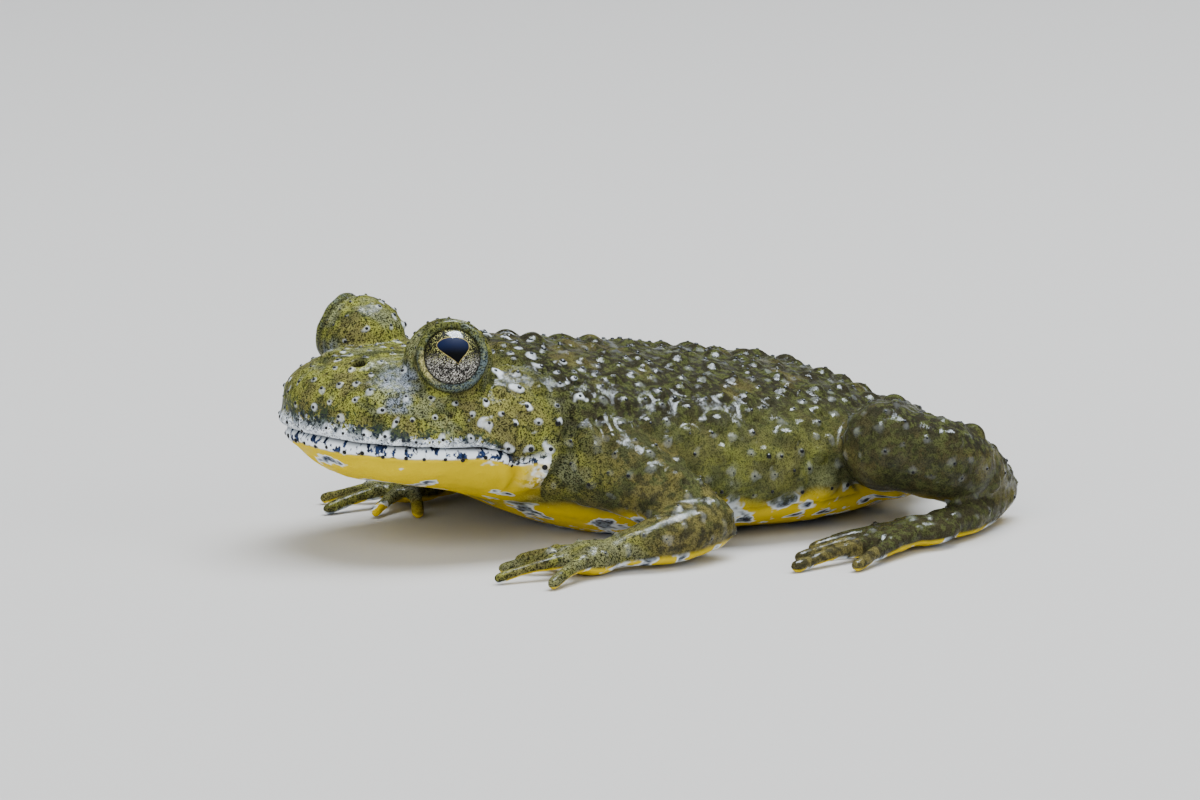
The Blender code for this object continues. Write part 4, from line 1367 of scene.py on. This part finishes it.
def eye_material():
    """A black pupil with a painted reflection of a blue sky at its top, a gold line and an iris speckled
    gold above and netted silver below.
    """
    n = Nodes("toad_eye")
    place = n.place("iris_place")
    across, up, _ = n.axes(place)
    fleck = n.noise(place, 15.0, 2.0, 0.5, 3.0)
    gold = n.layers(
        IRIS_BLACK,
        (fleck, 0.55, 0.63, 1.0, IRIS_GOLD),
        (n.apart(across, 0.0), 0.75, 1.35, 0.75, BLACKISH),
    )
    uneven = n.moved(place, n.noise(place, 2.5, 2.0))
    net = n.step(n.cells(uneven, 8.5, "DISTANCE_TO_EDGE"), 0.06, 0.28)
    silver = n.mix(net, IRIS_NET, n.layers(IRIS_BROWN, (fleck, 0.38, 0.54, 1.0, IRIS_SILVER)))
    silver = n.mix(n.value("vein"), silver, BLACKISH)
    low = n.step(n.math("ADD", up, n.times(fleck, 0.9)), 0.75, -0.15)
    off_axis = n.math("SQRT", n.math("ADD", n.times(across, across), n.times(up, up)))
    iris = n.layers(n.mix(low, gold, silver), (off_axis, 1.38, 1.52, 0.8, BLACKISH))
    zone = n.value("zone")
    colour = n.layers(
        PUPIL_BLACK,
        # painted reflection: the pupil turns from black to blue towards its top
        (up, 0.0, 0.7, 1.0, PUPIL_SKY_REFLECTION),
        (zone, GOLD - 0.6, GOLD - 0.4, 1.0, PUPIL_LINE),
        (zone, IRIS - 0.6, IRIS - 0.4, 1.0, iris),
        (zone, BALL - 0.6, BALL - 0.4, 1.0, BLACKISH),
    )
    return n.finish(
        Base_Color=colour,
        Roughness=0.5,
        Specular_IOR_Level=0.05,
        Coat_Weight=1.0,
        Coat_Roughness=0.02,
        Coat_IOR=1.26,
    )


# The camera, in degrees and millimetres
CAMERA_AZIMUTH = -33.0
CAMERA_ELEVATION = 9.8
CAMERA_DISTANCE = 450.0
CAMERA_AIM = (20.55, 0.0, 6.84)
VIEW_WIDTH = 66.3
SENSOR_WIDTH = 36.0

# The floor's section, in metres as (away from the camera, up), and its reach to each side
BACKDROP = ((-0.6, 0.0), (0.5, 0.0), (0.62, 0.012), (0.72, 0.05), (0.8, 0.12), (0.85, 0.25), (0.87, 0.9))
FLOOR_REACH = 1.6

# Lamps as seen from the camera: (right, away, up), size, power, colour and use
LAMPS_AIM = Vector((0.0, 0.0, 0.006))
LAMPS = (
    ("sky", (0.1, 0.06, 0.5), (0.3, 0.5), 5.8, (0.93, 0.96, 1.0), "light"),
    ("front", (-0.2, -0.61, 0.35), (0.5, 0.5), 5.4, (1.0, 0.99, 0.97), "light"),
    ("side", (0.55, -0.3, 0.3), (0.4, 0.4), 1.6, (1.0, 1.0, 1.0), "light"),
    ("wet_shine", (0.1, 0.07, 0.5), (0.24, 0.28), 18.0, (0.78, 0.88, 1.0), "shine"),
)
SKY_COLOUR = (0.85, 0.9, 1.0)
SKY_STRENGTH = 0.25


def build_stage():
    """A pale floor that curves up behind the toad, soft lamps and a faint sky."""
    turn = Matrix.Rotation(math.radians(CAMERA_AZIMUTH), 4, "Z")
    corners = [(x, y, z) for y, z in BACKDROP for x in (-FLOOR_REACH, FLOOR_REACH)]
    strips = [(k, k + 1, k + 3, k + 2) for k in range(0, len(corners) - 2, 2)]
    data = bpy.data.meshes.new("floor")
    data.from_pydata(corners, [], strips)
    data.transform(turn)
    data.shade_smooth()
    pale = Nodes("pale_floor").finish(Base_Color=FLOOR_GREY, Roughness=0.8, Specular_IOR_Level=0.0)
    data.materials.append(pale)
    in_scene("floor", data)
    for name, spot, size, power, colour, use in LAMPS:
        light = bpy.data.lights.new(name, "AREA")
        light.shape = "RECTANGLE"
        light.size, light.size_y = size
        light.energy = power
        light.color = colour
        lamp = in_scene(name, light)
        aim = (LAMPS_AIM - Vector(spot)).to_track_quat("-Z", "Y").to_matrix().to_4x4()
        lamp.matrix_world = turn @ Matrix.Translation(spot) @ aim
        lamp.visible_diffuse = use == "light"
        lamp.visible_glossy = use == "shine"
    world = bpy.data.worlds.new("studio")
    world.use_nodes = True
    sky = world.node_tree.nodes["Background"].inputs
    sky["Color"].default_value = (*SKY_COLOUR, 1.0)
    sky["Strength"].default_value = SKY_STRENGTH
    bpy.context.scene.world = world


def add_camera(shift):
    """The camera, low beside the toad and a little in front of it."""
    aim = Vector(CAMERA_AIM) * MM + shift
    outward = towards(CAMERA_AZIMUTH, CAMERA_ELEVATION)
    lens = bpy.data.cameras.new("camera")
    lens.sensor_width = SENSOR_WIDTH
    lens.lens = SENSOR_WIDTH * CAMERA_DISTANCE / VIEW_WIDTH
    lens.clip_start, lens.clip_end = 0.02, 10.0
    camera = in_scene("camera", lens)
    camera.location = aim + outward * CAMERA_DISTANCE * MM
    camera.rotation_euler = (-outward).to_track_quat("-Z", "Y").to_euler()
    bpy.context.scene.camera = camera


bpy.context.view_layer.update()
low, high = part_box("eye_left")
shift = (low + high) / 2 - eye_axes("left")[0] * MM

skin, spots = make_skin()
tips = make_tips(spots)
eyes = {side: make_eye(side) for side in SIDES}
for obj in (skin, tips, *eyes.values()):
    obj.data.transform(Matrix.Translation(shift) @ Matrix.Scale(MM, 4))
skin.data.materials.append(skin_material())
tips.data.materials.append(tip_material())
iris = eye_material()
for side, eye in eyes.items():
    eye.data.materials.append(iris)
    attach(eye, "root")
    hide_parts("eye_" + side)
for obj in (skin, tips):
    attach(obj, "root")
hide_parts(*SKIN_NODES, *[f"{name}_{side}" for name in LIMB_NODES for side in SIDES])

build_stage()
add_camera(shift)
